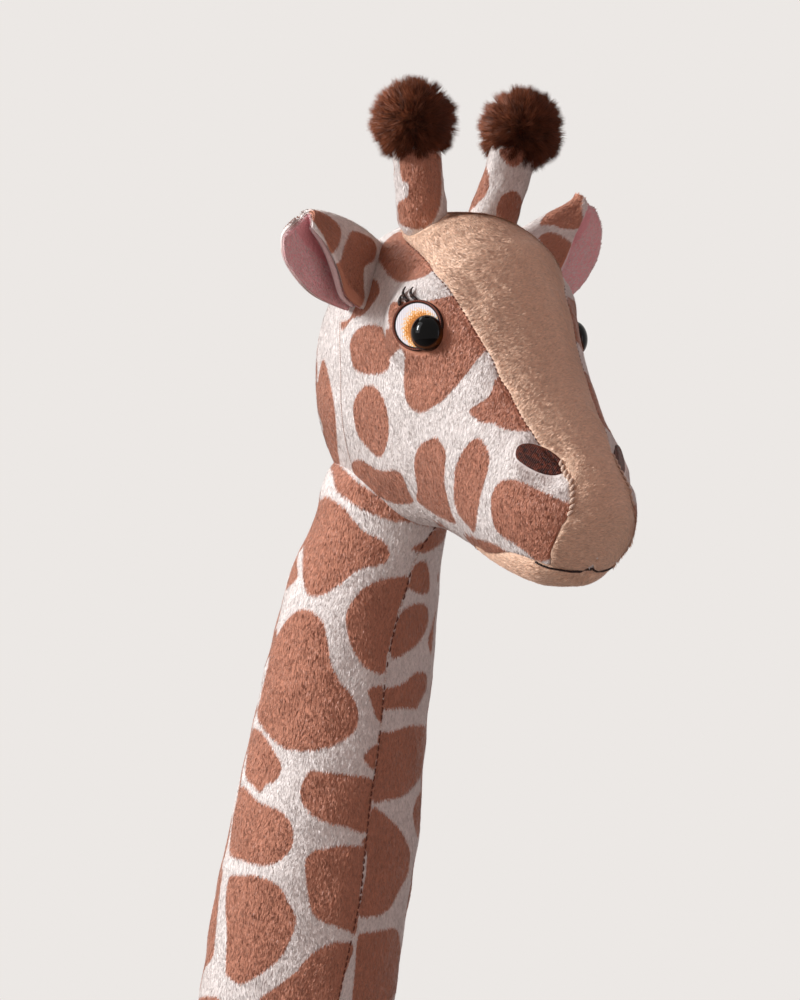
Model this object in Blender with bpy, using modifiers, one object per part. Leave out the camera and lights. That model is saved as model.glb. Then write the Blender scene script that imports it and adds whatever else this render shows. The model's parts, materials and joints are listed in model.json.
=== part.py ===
"""Plush giraffe, standing, in metres. +Z is up, the face looks along -Y, the soles are on Z = 0.

The stuffed pieces are solids. Pile, stitches and lashes are left to the surface.
"""

import math

import bmesh
import bpy
from mathutils import Matrix, Vector

# Torso. All other places follow from its front end and its middle level.
TORSO_LENGTH = 0.3400
TORSO_HEIGHT = 0.1800
TORSO_WIDTH = 0.1660
TORSO_FRONT_Y = -0.1165
TORSO_Z = 0.4350

# Fits between pieces.
SEWN_GAP = 0.0003
MOVING_GAP = 0.0004
CHANNEL_GAP = 0.0005
CUTTER_REACH = 0.0040

# Neck. Its turned profile is measured down its axis from the point where the head nods.
NECK_FOOT_INSET = 0.0476
NECK_FOOT_RISE = 0.1100
NECK_LEAN = math.radians(14.8)
NECK_LENGTH = 0.3000
NECK_TOP_RADIUS = 0.0372
SHOULDER_LENGTH = 0.1250
NECK_Y = TORSO_FRONT_Y + NECK_FOOT_INSET - NECK_LENGTH * math.sin(NECK_LEAN)
NECK_Z = TORSO_Z + NECK_FOOT_RISE + NECK_LENGTH * math.cos(NECK_LEAN)

# Head. The tables below hold its shape as shares of these three sizes.
HEAD_LENGTH = 0.2230
HEAD_HEIGHT = 0.1750
HEAD_WIDTH = 0.0920
HEAD_TILT = math.radians(36)
HEAD_BEHIND = 0.0544
HEAD_RISE = 0.0414
HEAD_Y = NECK_Y + HEAD_BEHIND
HEAD_Z = NECK_Z + HEAD_RISE
PANEL_THICKNESS = 0.0020
NOSE_TIP_RADIUS = 0.0042

# Legs and hooves.
LEG_SIDE = 0.0500
LEG_FRONT_INSET = 0.0660
LEG_REAR_INSET = 0.0470
LEG_FRONT_Y = TORSO_FRONT_Y + LEG_FRONT_INSET
LEG_REAR_Y = TORSO_FRONT_Y + TORSO_LENGTH - LEG_REAR_INSET
LEG_TOP_RADIUS = 0.0370
LEG_TOP_DROP = 0.0270
LEG_TOP_Z = TORSO_Z - LEG_TOP_DROP
HOOF_RADIUS = 0.0330
HOOF_HEIGHT = 0.0480
HOOF_FLOOR = 0.0120

# Horns and their fur balls.
HORN_RADIUS = 0.0124
HORN_LENGTH = 0.0400
HORN_SIDE = 0.0225
HORN_AHEAD = 0.0675
HORN_RISE = 0.1465
HORN_Y = NECK_Y - HORN_AHEAD
HORN_Z = NECK_Z + HORN_RISE
HORN_OUT = math.radians(15)
HORN_FORWARD = math.radians(10)
POMPOM_RADIUS = 0.0190
POMPOM_SINK = 0.0090

# Ears. The tables hold each edge as shares of the ear's length.
EAR_LENGTH = 0.0550
EAR_SIDE = 0.0385
EAR_AHEAD = 0.0410
EAR_RISE = 0.1160
EAR_Y = NECK_Y - EAR_AHEAD
EAR_Z = NECK_Z + EAR_RISE
EAR_SKIN = 0.0021
EAR_LINING = 0.0014
EAR_ROOT_RADIUS = 0.0042
EAR_ROOT_OUT = 0.0018
EAR_ROOM = 0.0030
EAR_FOLD_RADIUS = 0.0025

# Eyes.
EYE_SIDE = 0.0472
EYE_AHEAD = 0.0980
EYE_UP = 0.0930
EYE_Y = NECK_Y - EYE_AHEAD
EYE_Z = NECK_Z + EYE_UP
EYE_FORWARD = math.radians(25)
EYE_RISE = math.radians(4)
EYE_RADIUS = 0.0086
EYE_DOME = 0.0068
EYE_COLLAR = 0.0020
EYE_STEM_RADIUS = 0.0022
EYE_STEM_LENGTH = 0.0150
WASHER_RADIUS = 0.0070
WASHER_THICKNESS = 0.0016
WASHER_DEPTH = 0.0080
EYE_PATCH_RADIUS = 0.0136
EYE_PATCH_THICKNESS = 0.0014
EYE_PATCH_BACK = 0.0046
EYE_PATCH_UP = 0.0038
EYE_FLAT = 0.0150
EYE_FALL = 0.0300

# Nostrils.
NOSTRIL_SIDE = 0.0283
NOSTRIL_AHEAD_OF_NECK = 0.1652
NOSTRIL_RISE = 0.0236
NOSTRIL_Y = NECK_Y - NOSTRIL_AHEAD_OF_NECK
NOSTRIL_Z = NECK_Z + NOSTRIL_RISE
NOSTRIL_HALF_LENGTH = 0.0118
NOSTRIL_HALF_WIDTH = 0.0068
NOSTRIL_THICKNESS = 0.0014
NOSTRIL_FLAT = 0.0090
NOSTRIL_FALL = 0.0200
NOSTRIL_OUT, NOSTRIL_AHEAD, NOSTRIL_UP = 0.76, -0.57, 0.31
NOSTRIL_LONG_AHEAD, NOSTRIL_LONG_UP = -0.50, -0.74

# Tail.
TAIL_BEHIND = 0.0020
TAIL_RISE = 0.0450
TAIL_Y = TORSO_FRONT_Y + TORSO_LENGTH + TAIL_BEHIND
TAIL_Z = TORSO_Z + TAIL_RISE
TAIL_RADIUS = 0.0075
TAIL_LENGTH = 0.1300
TAIL_LEAN = math.radians(34)
TAIL_END_SHARE = 0.97
TAIL_WAIST_SHARE = 0.90
TAIL_RIM_SHARE = 0.85
TAIL_TIP_SHARE = 0.70
TUFT_RADIUS = 0.0160
TUFT_LENGTH = 0.0700
TUFT_SINK = 0.0160

# Steel frame inside.
FRAME_RADIUS = 0.0040
FRAME_SHARES = {"spine": 1.0, "neck": 1.1, "cross": 0.9, "leg": 0.8}
LEG_ROD_END_Z = 0.0560
NECK_ROD_TOP = 0.0500
LEG_CHANNEL_SHARE = 0.25

RING_POINTS = 24
HEAD_RINGS = 22
TORSO_RINGS = 14
TURNED_STEPS = 20
LEG_STEPS = 14
SMALL_STEPS = 12
ROD_STEPS = 8
RING_CROWDING = 0.75
PANEL_COLUMNS = 10
PANEL_GROWTH = math.radians(3)
PANEL_STEP = 0.004
HEAD_STEP = 0.002

# Rows: along, top, bottom, half width, widest level, upper and lower roundness.
HEAD_SHARES = [
    (0.0000, 0.5486, 0.5486, 0.0000, 0.50, 2.00, 2.00),
    (0.0067, 0.6400, 0.4114, 0.2174, 0.50, 2.00, 2.00),
    (0.0269, 0.7143, 0.2800, 0.3152, 0.50, 2.00, 2.00),
    (0.0650, 0.7943, 0.1657, 0.3913, 0.52, 2.10, 2.00),
    (0.1233, 0.8714, 0.0743, 0.4511, 0.55, 2.20, 2.00),
    (0.1973, 0.9400, 0.0229, 0.4837, 0.57, 2.30, 2.00),
    (0.2825, 0.9857, 0.0000, 0.5000, 0.60, 2.30, 1.90),
    (0.3812, 0.9971, 0.0171, 0.5000, 0.62, 2.30, 1.85),
    (0.4798, 0.9514, 0.0971, 0.4891, 0.62, 2.20, 1.85),
    (0.5785, 0.8800, 0.1686, 0.4620, 0.60, 2.20, 1.90),
    (0.6794, 0.8114, 0.2114, 0.4293, 0.57, 2.20, 2.00),
    (0.7803, 0.7514, 0.2371, 0.4076, 0.55, 2.30, 2.20),
    (0.8587, 0.7114, 0.2629, 0.3859, 0.53, 2.30, 2.30),
    (0.9215, 0.6743, 0.2971, 0.3370, 0.52, 2.30, 2.30),
    (0.9641, 0.6371, 0.3371, 0.2663, 0.50, 2.20, 2.20),
    (0.9888, 0.5857, 0.3829, 0.1685, 0.50, 2.00, 2.00),
    (1.0000, 0.4686, 0.4686, 0.0000, 0.50, 2.00, 2.00),
]
# Rows: along the head, then the turn from the top to the edge, in degrees.
FACE_EDGE_SHARES = [
    (0.170, 40),
    (0.216, 45),
    (0.290, 47),
    (0.350, 50),
    (0.423, 52),
    (0.498, 50),
    (0.562, 47),
    (0.626, 45),
    (0.690, 42),
    (0.742, 38),
    (0.792, 35),
    (0.839, 34),
    (0.876, 35),
    (0.904, 38),
    (0.922, 43),
    (0.944, 55),
    (0.958, 72),
    (0.966, 90),
    (0.976, 108),
    (0.988, 122),
    (1.000, 126),
]
# Rows: along the head, then the turn from the top to the near edge, in degrees.
CHIN_EDGE_SHARES = [
    (0.718, 156),
    (0.742, 141),
    (0.801, 130),
    (0.855, 122),
    (0.885, 119),
    (0.922, 117),
    (0.950, 117),
    (0.966, 117),
    (0.976, 118),
    (0.984, 124),
    (0.990, 127),
]
# Rows: distance down the axis and radius, as shares of the length and of the top radius.
NECK_SHARES = [
    (0.0260, 0.979),
    (0.0670, 0.992),
    (0.1100, 1.030),
    (0.1650, 1.080),
    (0.2500, 1.130),
    (0.3450, 1.180),
    (0.4400, 1.235),
    (0.5300, 1.285),
    (0.6200, 1.325),
    (0.7150, 1.370),
    (0.8100, 1.388),
    (0.9000, 1.400),
    (1.0000, 1.425),
]
SHOULDER_SHARES = [
    (0.0000, 1.425),
    (0.1400, 1.460),
    (0.3200, 1.560),
    (0.5200, 1.730),
    (0.7400, 1.900),
    (1.0000, 1.950),
]
# Rows: along, level of the middle, half height, half width.
TORSO_SHARES = [
    (0.000, 0.050, 0.000, 0.000),
    (0.012, 0.050, 0.200, 0.190),
    (0.050, 0.050, 0.350, 0.325),
    (0.120, 0.045, 0.465, 0.420),
    (0.230, 0.030, 0.535, 0.480),
    (0.370, 0.000, 0.535, 0.500),
    (0.520, -0.015, 0.490, 0.490),
    (0.670, -0.005, 0.455, 0.480),
    (0.800, 0.008, 0.445, 0.465),
    (0.900, 0.030, 0.395, 0.405),
    (0.960, 0.050, 0.300, 0.300),
    (0.990, 0.070, 0.165, 0.165),
    (1.000, 0.080, 0.000, 0.000),
]
# Rows: height above the ankle as a share of the leg, and radius as a share of the top radius.
LEG_SHARES = [
    (1.000, 0.00),
    (0.990, 0.36),
    (0.965, 0.64),
    (0.920, 0.88),
    (0.860, 0.99),
    (0.790, 1.00),
    (0.650, 0.92),
    (0.480, 0.83),
    (0.310, 0.77),
    (0.140, 0.73),
    (0.020, 0.72),
    (0.000, 0.66),
    (0.000, 0.00),
]
# Rows: height as a share of the hoof, and radius as a share of its own.
HOOF_SHARES = [
    (1.000, 0.00),
    (1.000, 0.84),
    (0.960, 0.90),
    (0.800, 0.93),
    (0.500, 0.98),
    (0.220, 1.00),
    (0.080, 0.98),
    (0.000, 0.93),
    (0.000, 0.00),
]
# Rows: height as a share of the tuft, and radius as a share of its own.
TUFT_SHARES = [
    (1.00, 0.00),
    (0.93, 0.42),
    (0.80, 0.70),
    (0.60, 0.94),
    (0.40, 1.00),
    (0.20, 0.80),
    (0.05, 0.52),
    (0.00, 0.40),
    (0.00, 0.00),
]
# Rows: height as a share of the horn, and radius as a share of its own.
HORN_SHARES = [
    (1.000, 0.00),
    (0.995, 0.40),
    (0.970, 0.70),
    (0.920, 0.90),
    (0.850, 0.97),
    (0.620, 0.95),
    (0.380, 0.96),
    (0.160, 1.00),
]
# Rows: forward, outward and upward from the middle of the ear's root.
EAR_FOLD_SHARES = [
    (0.055, -0.100, 0.300),
    (0.200, 0.230, 0.430),
    (0.250, 0.540, 0.560),
    (0.290, 0.790, 0.670),
    (0.310, 0.860, 0.745),
]
EAR_FRONT_SHARES = [
    (0.105, 0.110, -0.290),
    (0.270, 0.430, -0.180),
    (0.370, 0.600, 0.070),
    (0.385, 0.730, 0.350),
    (0.355, 0.880, 0.610),
]
EAR_REAR_SHARES = [
    (-0.105, 0.130, -0.290),
    (0.230, 0.760, -0.170),
    (0.290, 1.080, 0.110),
    (0.310, 1.140, 0.420),
    (0.325, 1.050, 0.640),
]
EAR_ROWS = 6
EAR_COLUMNS = 12
EAR_FRONT_BULGE_SHARE = 0.05
EAR_REAR_BULGE_SHARE = 0.09
EAR_ARC_START_SHARE = 0.36
EAR_ARC_END_SHARE = 0.56
EAR_STEP_ALONG = 0.08
EAR_STEP_ACROSS = 0.02
FULL_TURN = 360
HALF_TURN = 180


def clear_scene():
    for old in list(bpy.data.objects):
        bpy.data.objects.remove(old)


def collection(name):
    made = bpy.data.collections.new(name)
    bpy.context.scene.collection.children.link(made)
    return made


def material(name, colour, roughness, metallic=0.0):
    made = bpy.data.materials.new(name)
    made.use_nodes = True
    shader = made.node_tree.nodes["Principled BSDF"]
    shader.inputs["Base Color"].default_value = (*colour, 1.0)
    shader.inputs["Roughness"].default_value = roughness
    shader.inputs["Metallic"].default_value = metallic
    return made


def add_object(name, mesh, skin):
    """The mesh as a visible piece, or as a hidden cutter when it has no material."""
    made = bpy.data.objects.new(name, mesh)
    if skin:
        mesh.materials.append(skin)
        PIECES.objects.link(made)
    else:
        made.hide_render = True
        made.display_type = "WIRE"
        CUTTERS.objects.link(made)
    return made


def finish_mesh(name, build, skin):
    bmesh.ops.remove_doubles(build, verts=build.verts, dist=SEWN_GAP / 10)
    bmesh.ops.recalc_face_normals(build, faces=build.faces)
    mesh = bpy.data.meshes.new(name)
    build.to_mesh(mesh)
    build.free()
    made = add_object(name, mesh, skin)
    mesh.shade_smooth()
    return made


def combine(target, operation, *others):
    for other in others:
        step = target.modifiers.new(other.name, "BOOLEAN")
        step.operation = operation
        step.solver = "EXACT"
        step.object = other


def curve_through(rows, place):
    """A smooth value row at a place along the rows, which start with their place."""
    last = len(rows) - 1
    k = 0
    while k < last - 1 and rows[k + 1][0] <= place:
        k += 1
    before, start = rows[max(k - 1, 0)], rows[k]
    end, after = rows[k + 1], rows[min(k + 2, last)]
    span = end[0] - start[0]
    t = (place - start[0]) / span
    found = []
    for a, b, c, d in zip(before, start, end, after):
        slope_b = (c - a) / (end[0] - before[0]) * span
        slope_c = (d - b) / (after[0] - start[0]) * span
        if (b - a) * (c - b) <= 0:
            slope_b = 0
        if (c - b) * (d - c) <= 0:
            slope_c = 0
        bend = 3 * (c - b) - 2 * slope_b - slope_c
        twist = 2 * (b - c) + slope_b + slope_c
        found.append(b + slope_b * t + bend * t * t + twist * t * t * t)
    return found


def towards(about_x, about_y):
    """The up direction turned about X, then about Y."""
    turn = Matrix.Rotation(about_y, 3, "Y") @ Matrix.Rotation(about_x, 3, "X")
    return turn @ Vector((0, 0, 1))


def eye_normal(side):
    level = math.cos(EYE_RISE)
    return Vector(
        (
            side * math.cos(EYE_FORWARD) * level,
            -math.sin(EYE_FORWARD) * level,
            math.sin(EYE_RISE),
        )
    )


def eye_point(side):
    return Vector((side * EYE_SIDE, EYE_Y, EYE_Z))


def nostril_normal(side):
    return Vector((side * NOSTRIL_OUT, NOSTRIL_AHEAD, NOSTRIL_UP)).normalized()


def nostril_point(side):
    return Vector((side * NOSTRIL_SIDE, NOSTRIL_Y, NOSTRIL_Z))


def flattened(point, middle, normal, flat, fall):
    """The point drawn to the plane that a sewn-on patch pulls flat."""
    offset = point - middle
    height = offset.dot(normal)
    across = (offset - normal * height).length
    if across >= fall or abs(height) > fall:
        return point
    pull = 1 - max(across - flat, 0) / (fall - flat)
    pull = pull * pull * (3 - 2 * pull)
    return point - normal * height * pull


def head_surface(share, turn):
    """The head's surface at a share of its length and a turn from the top, in radians."""
    along, top, bottom, half, widest, upper, lower = curve_through(HEAD_SHARES, share)
    middle = bottom + widest * (top - bottom)
    over = math.cos(turn)
    aside = math.sin(turn)
    reach = top - middle if over >= 0 else middle - bottom
    power = 2 / (upper if over >= 0 else lower)
    level = middle + reach * math.copysign(abs(over) ** power, over)
    side = half * math.copysign(abs(aside) ** power, aside)
    forward = HEAD_LENGTH * along
    rise = HEAD_HEIGHT * level
    point = Vector(
        (
            HEAD_WIDTH * side,
            HEAD_Y - forward * math.cos(HEAD_TILT) - rise * math.sin(HEAD_TILT),
            HEAD_Z - forward * math.sin(HEAD_TILT) + rise * math.cos(HEAD_TILT),
        )
    )
    hand = 1 if point.x > 0 else -1
    patch = eye_point(hand)
    point = flattened(point, patch, eye_normal(hand), EYE_FLAT, EYE_FALL)
    nose = nostril_point(hand)
    return flattened(point, nose, nostril_normal(hand), NOSTRIL_FLAT, NOSTRIL_FALL)


def head_skin(share, turn, lift):
    """The head's surface raised by lift along its own normal."""
    if share <= 0 or share >= 1:
        end = 1 if share >= 1 else -1
        out = Vector((0, -end * math.cos(HEAD_TILT), -end * math.sin(HEAD_TILT)))
        return head_surface(share, turn) + out * lift
    step = HEAD_STEP
    inner = min(max(share, 2 * step), 1 - 2 * step)
    along = head_surface(inner + step, turn) - head_surface(inner - step, turn)
    across = head_surface(inner, turn + step) - head_surface(inner, turn - step)
    return head_surface(share, turn) + across.cross(along).normalized() * -lift


def ring_places(count):
    """Ring places that crowd towards both round ends."""
    places = []
    for k in range(1, count):
        even = k / count
        wave = math.sin(2 * math.pi * even) / (2 * math.pi)
        places.append(even - wave * RING_CROWDING)
    return places


def head_body(name, lift, skin=None):
    """The head's whole outside as one closed loft between its two ends."""
    build = bmesh.new()
    rings = []
    for place in ring_places(HEAD_RINGS):
        ring = []
        for k in range(RING_POINTS):
            turn = 2 * math.pi * k / RING_POINTS
            ring.append(build.verts.new(head_skin(place, turn, lift)))
        rings.append(ring)
    first = build.verts.new(head_skin(0, 0, lift))
    last = build.verts.new(head_skin(1, 0, lift))
    join_rings(build, rings)
    fan(build, rings[0], first)
    fan(build, rings[-1], last)
    return finish_mesh(name, build, skin)


def join_rings(build, rings):
    for near, far in zip(rings, rings[1:]):
        count = len(near)
        for k in range(count):
            following = (k + 1) % count
            build.faces.new((near[k], near[following], far[following], far[k]))


def fan(build, ring, tip):
    for k in range(len(ring)):
        build.faces.new((ring[k], ring[(k + 1) % len(ring)], tip))


def sheet_solid(name, top, bottom, skin):
    """A closed solid between two grids of points of one size."""
    build = bmesh.new()
    upper = [[build.verts.new(p) for p in row] for row in top]
    lower = [[build.verts.new(p) for p in row] for row in bottom]
    rows, columns = len(top), len(top[0])
    for i in range(rows - 1):
        for j in range(columns - 1):
            for grid in (upper, lower):
                corners = (grid[i][j], grid[i][j + 1], grid[i + 1][j + 1], grid[i + 1][j])
                build.faces.new(corners)
    for i in range(rows - 1):
        for j in (0, columns - 1):
            edge = (upper[i][j], upper[i + 1][j], lower[i + 1][j], lower[i][j])
            build.faces.new(edge)
    for j in range(columns - 1):
        for i in (0, rows - 1):
            edge = (upper[i][j], upper[i][j + 1], lower[i][j + 1], lower[i][j])
            build.faces.new(edge)
    bmesh.ops.triangulate(build, faces=build.faces, quad_method="FIXED")
    return finish_mesh(name, build, skin)


def head_panel(name, edges, mirrored, growth, outside, inside, skin=None):
    """A patch of the head's skin from its edge rows. Growth widens it for its recess."""
    tops, bottoms = [], []
    for place, degrees in edges:
        edge = math.radians(degrees)
        if mirrored:
            start, end = edge, math.radians(FULL_TURN) - edge
        else:
            start, end = -edge, edge
        spread = (end - start) / PANEL_COLUMNS
        turns = [start + spread * k for k in range(PANEL_COLUMNS + 1)]
        if growth:
            turns = [turns[0] - growth, *turns, turns[-1] + growth]
        tops.append([head_skin(place, turn, outside) for turn in turns])
        bottoms.append([head_skin(place, turn, inside) for turn in turns])
    return sheet_solid(name, tops, bottoms, skin)


def with_longer_ends(edges, step):
    """Edge rows with each open end carried on, for a recess that clears the panel's ends."""
    first, last = edges[0], edges[-1]
    rows = [(first[0] - step, first[1]), *edges]
    if last[0] < 1:
        rows.append((last[0] + step, last[1]))
    return rows


def make_head():
    head = head_body("head", 0, SPOTTED)
    grow = PANEL_GROWTH
    below = -PANEL_THICKNESS - 2 * SEWN_GAP
    face_rows = with_longer_ends(FACE_EDGE_SHARES, PANEL_STEP)
    chin_rows = with_longer_ends(CHIN_EDGE_SHARES, PANEL_STEP)
    face_cut = head_panel("face_recess", face_rows, False, grow, CUTTER_REACH, below)
    chin_cut = head_panel("chin_recess", chin_rows, True, grow, CUTTER_REACH, below)
    tip_rows = arc(NOSE_TIP_RADIUS, 0, math.pi, 8)
    tip = head_skin(1, 0, CUTTER_REACH / 5)
    tip_cut = turned("nose_tip_recess", tip_rows, tip, Vector((0, 0, 1)), None, SMALL_STEPS)
    combine(head, "DIFFERENCE", face_cut, chin_cut, tip_cut)
    head_panel("face_panel", FACE_EDGE_SHARES, False, 0, 0, -PANEL_THICKNESS, TAN)
    head_panel("chin_panel", CHIN_EDGE_SHARES, True, 0, 0, -PANEL_THICKNESS, TAN)
    combine(head, "DIFFERENCE", neck_socket())
    return head


def turned(name, profile, point, direction, skin=None, steps=None):
    """A solid turned about an axis through point. Rows run from the far end back."""
    mesh = bpy.data.meshes.new(name)
    points = [(radius, 0, height) for height, radius in profile]
    edges = [(k, k + 1) for k in range(len(points) - 1)]
    mesh.from_pydata(points, edges, [])
    made = add_object(name, mesh, skin)
    made.location = point
    made.rotation_euler = direction.to_track_quat("Z", "Y").to_euler()
    screw = made.modifiers.new("turned", "SCREW")
    screw.steps = steps or TURNED_STEPS
    screw.render_steps = screw.steps
    screw.use_merge_vertices = True
    screw.merge_threshold = SEWN_GAP / 10
    screw.use_smooth_shade = True
    return made


def arc(radius, start, end, count, middle=0.0):
    """Profile rows along an arc about a point on the axis, by angle from up."""
    rows = []
    for k in range(count + 1):
        angle = start + (end - start) * k / count
        rows.append((middle + radius * math.cos(angle), radius * math.sin(angle)))
    return rows


def neck_axis():
    return towards(NECK_LEAN, 0)


def neck_point(down):
    return Vector((0, NECK_Y, NECK_Z)) - neck_axis() * down


def neck_socket():
    """The round hollow in the head that the neck's top fits, opening downwards."""
    radius = NECK_TOP_RADIUS + MOVING_GAP
    profile = arc(radius, 0, math.radians(90), 10)
    profile.append((-NECK_TOP_RADIUS, radius + NECK_TOP_RADIUS / 3))
    profile.append((-NECK_TOP_RADIUS, 0))
    return turned("neck_socket", profile, neck_point(0), neck_axis())


def make_neck():
    below_middle = math.radians(102)
    profile = arc(NECK_TOP_RADIUS, 0, below_middle, 10)
    for down, across in NECK_SHARES[1:]:
        profile.append((-NECK_LENGTH * down, NECK_TOP_RADIUS * across))
    profile.append((-NECK_LENGTH, 0))
    neck = turned("neck", profile, neck_point(0), neck_axis(), SPOTTED)
    radius = rod_radius("neck") + CHANNEL_GAP
    channel = rod_between(
        "neck_channel",
        neck_point(NECK_ROD_TOP - CHANNEL_GAP),
        neck_point(NECK_LENGTH + CUTTER_REACH),
        radius,
    )
    combine(neck, "DIFFERENCE", channel)
    return neck


def rod_between(name, start, end, radius, skin=None):
    build = bmesh.new()
    length = (end - start).length
    aim = (end - start).to_track_quat("Z", "Y").to_matrix().to_4x4()
    place = Matrix.Translation((start + end) / 2) @ aim
    bmesh.ops.create_cone(
        build,
        cap_ends=True,
        segments=ROD_STEPS,
        radius1=radius,
        radius2=radius,
        depth=length,
        matrix=place,
    )
    return finish_mesh(name, build, skin)


def frame_ends():
    """Each rod of the frame by name, from its start to its end."""
    spine_front = frame_corner(0, LEG_FRONT_Y)
    spine_rear = frame_corner(0, LEG_REAR_Y)
    reach = (NECK_Z - TORSO_Z) / math.cos(NECK_LEAN)
    neck_foot = neck_point(reach)
    rods = {
        "spine": (spine_front, spine_rear),
        "neck": (neck_foot, neck_point(NECK_ROD_TOP)),
    }
    for end, y in (("front", LEG_FRONT_Y), ("rear", LEG_REAR_Y)):
        rods["cross_" + end] = (frame_corner(-LEG_SIDE, y), frame_corner(LEG_SIDE, y))
        for hand, side in SIDES:
            top = frame_corner(side * LEG_SIDE, y)
            foot = Vector((side * LEG_SIDE, y, LEG_ROD_END_Z))
            rods["leg_" + end + "_" + hand] = (top, foot)
    return rods


def rod_radius(name):
    return FRAME_RADIUS * FRAME_SHARES[name.split("_")[0]]


def frame_corner(x, y):
    return Vector((x, y, TORSO_Z))


def carried_on(start, end, length):
    """The two ends moved apart, so that joined rods pass through each other."""
    way = (end - start).normalized() * length
    return start - way, end + way


def make_frame():
    rods = frame_ends()
    frame = None
    for name, (start, end) in rods.items():
        low, high = carried_on(start, end, 0)
        if name.startswith("cross"):
            low, high = carried_on(start, end, FRAME_RADIUS / 2)
        if name == "spine":
            low, high = carried_on(start, end, FRAME_RADIUS)
            frame = rod_between("support_frame", low, high, FRAME_RADIUS, STEEL)
            continue
        combine(frame, "UNION", rod_between("frame_" + name, low, high, rod_radius(name)))
    return frame


def torso_channels():
    cutters = []
    for name, (start, end) in frame_ends().items():
        low, high = carried_on(start, end, FRAME_RADIUS + 2 * CHANNEL_GAP)
        if name.startswith("leg"):
            high = low.lerp(high, LEG_CHANNEL_SHARE)
        if name == "neck":
            high = neck_point(NECK_LENGTH - CUTTER_REACH)
        radius = rod_radius(name) + CHANNEL_GAP
        cutters.append(rod_between("channel_" + name, low, high, radius))
    return cutters


def torso_loft():
    build = bmesh.new()
    rings = []
    for place in ring_places(TORSO_RINGS):
        along, level, tall, wide = curve_through(TORSO_SHARES, place)
        ring = []
        for k in range(RING_POINTS):
            turn = 2 * math.pi * k / RING_POINTS
            ring.append(build.verts.new(torso_point(along, level, tall, wide, turn)))
        rings.append(ring)
    first = build.verts.new(torso_point(*TORSO_SHARES[0], 0))
    last = build.verts.new(torso_point(*TORSO_SHARES[-1], 0))
    join_rings(build, rings)
    fan(build, rings[0], first)
    fan(build, rings[-1], last)
    return finish_mesh("torso", build, SPOTTED)


def torso_point(along, level, tall, wide, turn):
    return Vector(
        (
            TORSO_WIDTH * wide * math.sin(turn),
            TORSO_FRONT_Y + TORSO_LENGTH * along,
            TORSO_Z + TORSO_HEIGHT * (level + tall * math.cos(turn)),
        )
    )


def make_torso():
    torso = torso_loft()
    seam = NECK_LENGTH + SEWN_GAP
    profile = [(-seam, 0)]
    for down, across in SHOULDER_SHARES:
        profile.append((-seam - SHOULDER_LENGTH * down, NECK_TOP_RADIUS * across))
    profile.append((-seam - SHOULDER_LENGTH, 0))
    shoulder = turned("shoulder", profile, neck_point(0), neck_axis())
    combine(torso, "UNION", shoulder)
    for name, side, y in LEGS:
        combine(torso, "DIFFERENCE", leg_shape("socket_" + name, side, y, SEWN_GAP))
    combine(torso, "DIFFERENCE", *torso_channels(), tail_ball("tail_dimple", MOVING_GAP))
    return torso


def leg_shape(name, side, y, growth, skin=None):
    """One leg, or its socket in the torso when growth is given."""
    foot = HOOF_FLOOR + SEWN_GAP
    height = LEG_TOP_Z - foot
    profile = []
    for up, across in LEG_SHARES:
        radius = LEG_TOP_RADIUS * across + (growth if across else 0)
        profile.append((foot + height * up, radius))
    profile[0] = (profile[0][0] + growth, 0)
    place = Vector((side * LEG_SIDE, y, 0))
    return turned(name, profile, place, Vector((0, 0, 1)), skin, LEG_STEPS)


def make_leg(name, side, y):
    leg = leg_shape(name, side, y, 0, SPOTTED)
    top = Vector((side * LEG_SIDE, y, LEG_TOP_Z + CUTTER_REACH))
    foot = Vector((side * LEG_SIDE, y, LEG_ROD_END_Z - CHANNEL_GAP))
    radius = rod_radius("leg") + CHANNEL_GAP
    channel = rod_between("channel_in_" + name, top, foot, radius)
    combine(leg, "DIFFERENCE", channel)
    hoof_name = name.replace("leg", "hoof")
    profile = [(HOOF_HEIGHT * up, HOOF_RADIUS * across) for up, across in HOOF_SHARES]
    place = Vector((side * LEG_SIDE, y, 0))
    hoof = turned(hoof_name, profile, place, Vector((0, 0, 1)), BROWN, LEG_STEPS)
    hollow = leg_shape("hollow_" + hoof_name, side, y, SEWN_GAP)
    hollow.location.z = -SEWN_GAP
    combine(hoof, "DIFFERENCE", hollow)


def tail_axis():
    return towards(math.radians(HALF_TURN) + TAIL_LEAN, 0)


def tail_ball(name, growth):
    start = Vector((0, TAIL_Y, TAIL_Z))
    profile = arc(TAIL_RADIUS + growth, 0, math.pi, 12)
    return turned(name, profile, start, tail_axis(), None, SMALL_STEPS)


def make_tail():
    """The tail hangs from a round end that swings in a dimple of the rump."""
    start = Vector((0, TAIL_Y, TAIL_Z))
    profile = [(TAIL_LENGTH, 0), (TAIL_LENGTH, TAIL_RADIUS * TAIL_TIP_SHARE)]
    profile.append((TAIL_LENGTH * TAIL_END_SHARE, TAIL_RADIUS * TAIL_RIM_SHARE))
    profile.append((TAIL_LENGTH / 2, TAIL_RADIUS * TAIL_WAIST_SHARE))
    profile += arc(TAIL_RADIUS, math.pi / 2, math.pi, 6)
    turned("tail", profile, start, tail_axis(), SPOTTED, SMALL_STEPS)
    tuft_top = start + tail_axis() * (TAIL_LENGTH - TUFT_SINK)
    rows = [(TUFT_LENGTH * up, TUFT_RADIUS * across) for up, across in TUFT_SHARES]
    tuft = turned("tail_tuft", rows, tuft_top, tail_axis(), DARK, SMALL_STEPS)
    depth = TUFT_SINK + SEWN_GAP
    wide = TAIL_RADIUS * TAIL_WAIST_SHARE + SEWN_GAP
    rows = [(depth, 0), (depth, wide), (-CUTTER_REACH, wide), (-CUTTER_REACH, 0)]
    hole = turned("tuft_hole", rows, tuft_top, tail_axis(), None, SMALL_STEPS)
    combine(tuft, "DIFFERENCE", hole)


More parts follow.
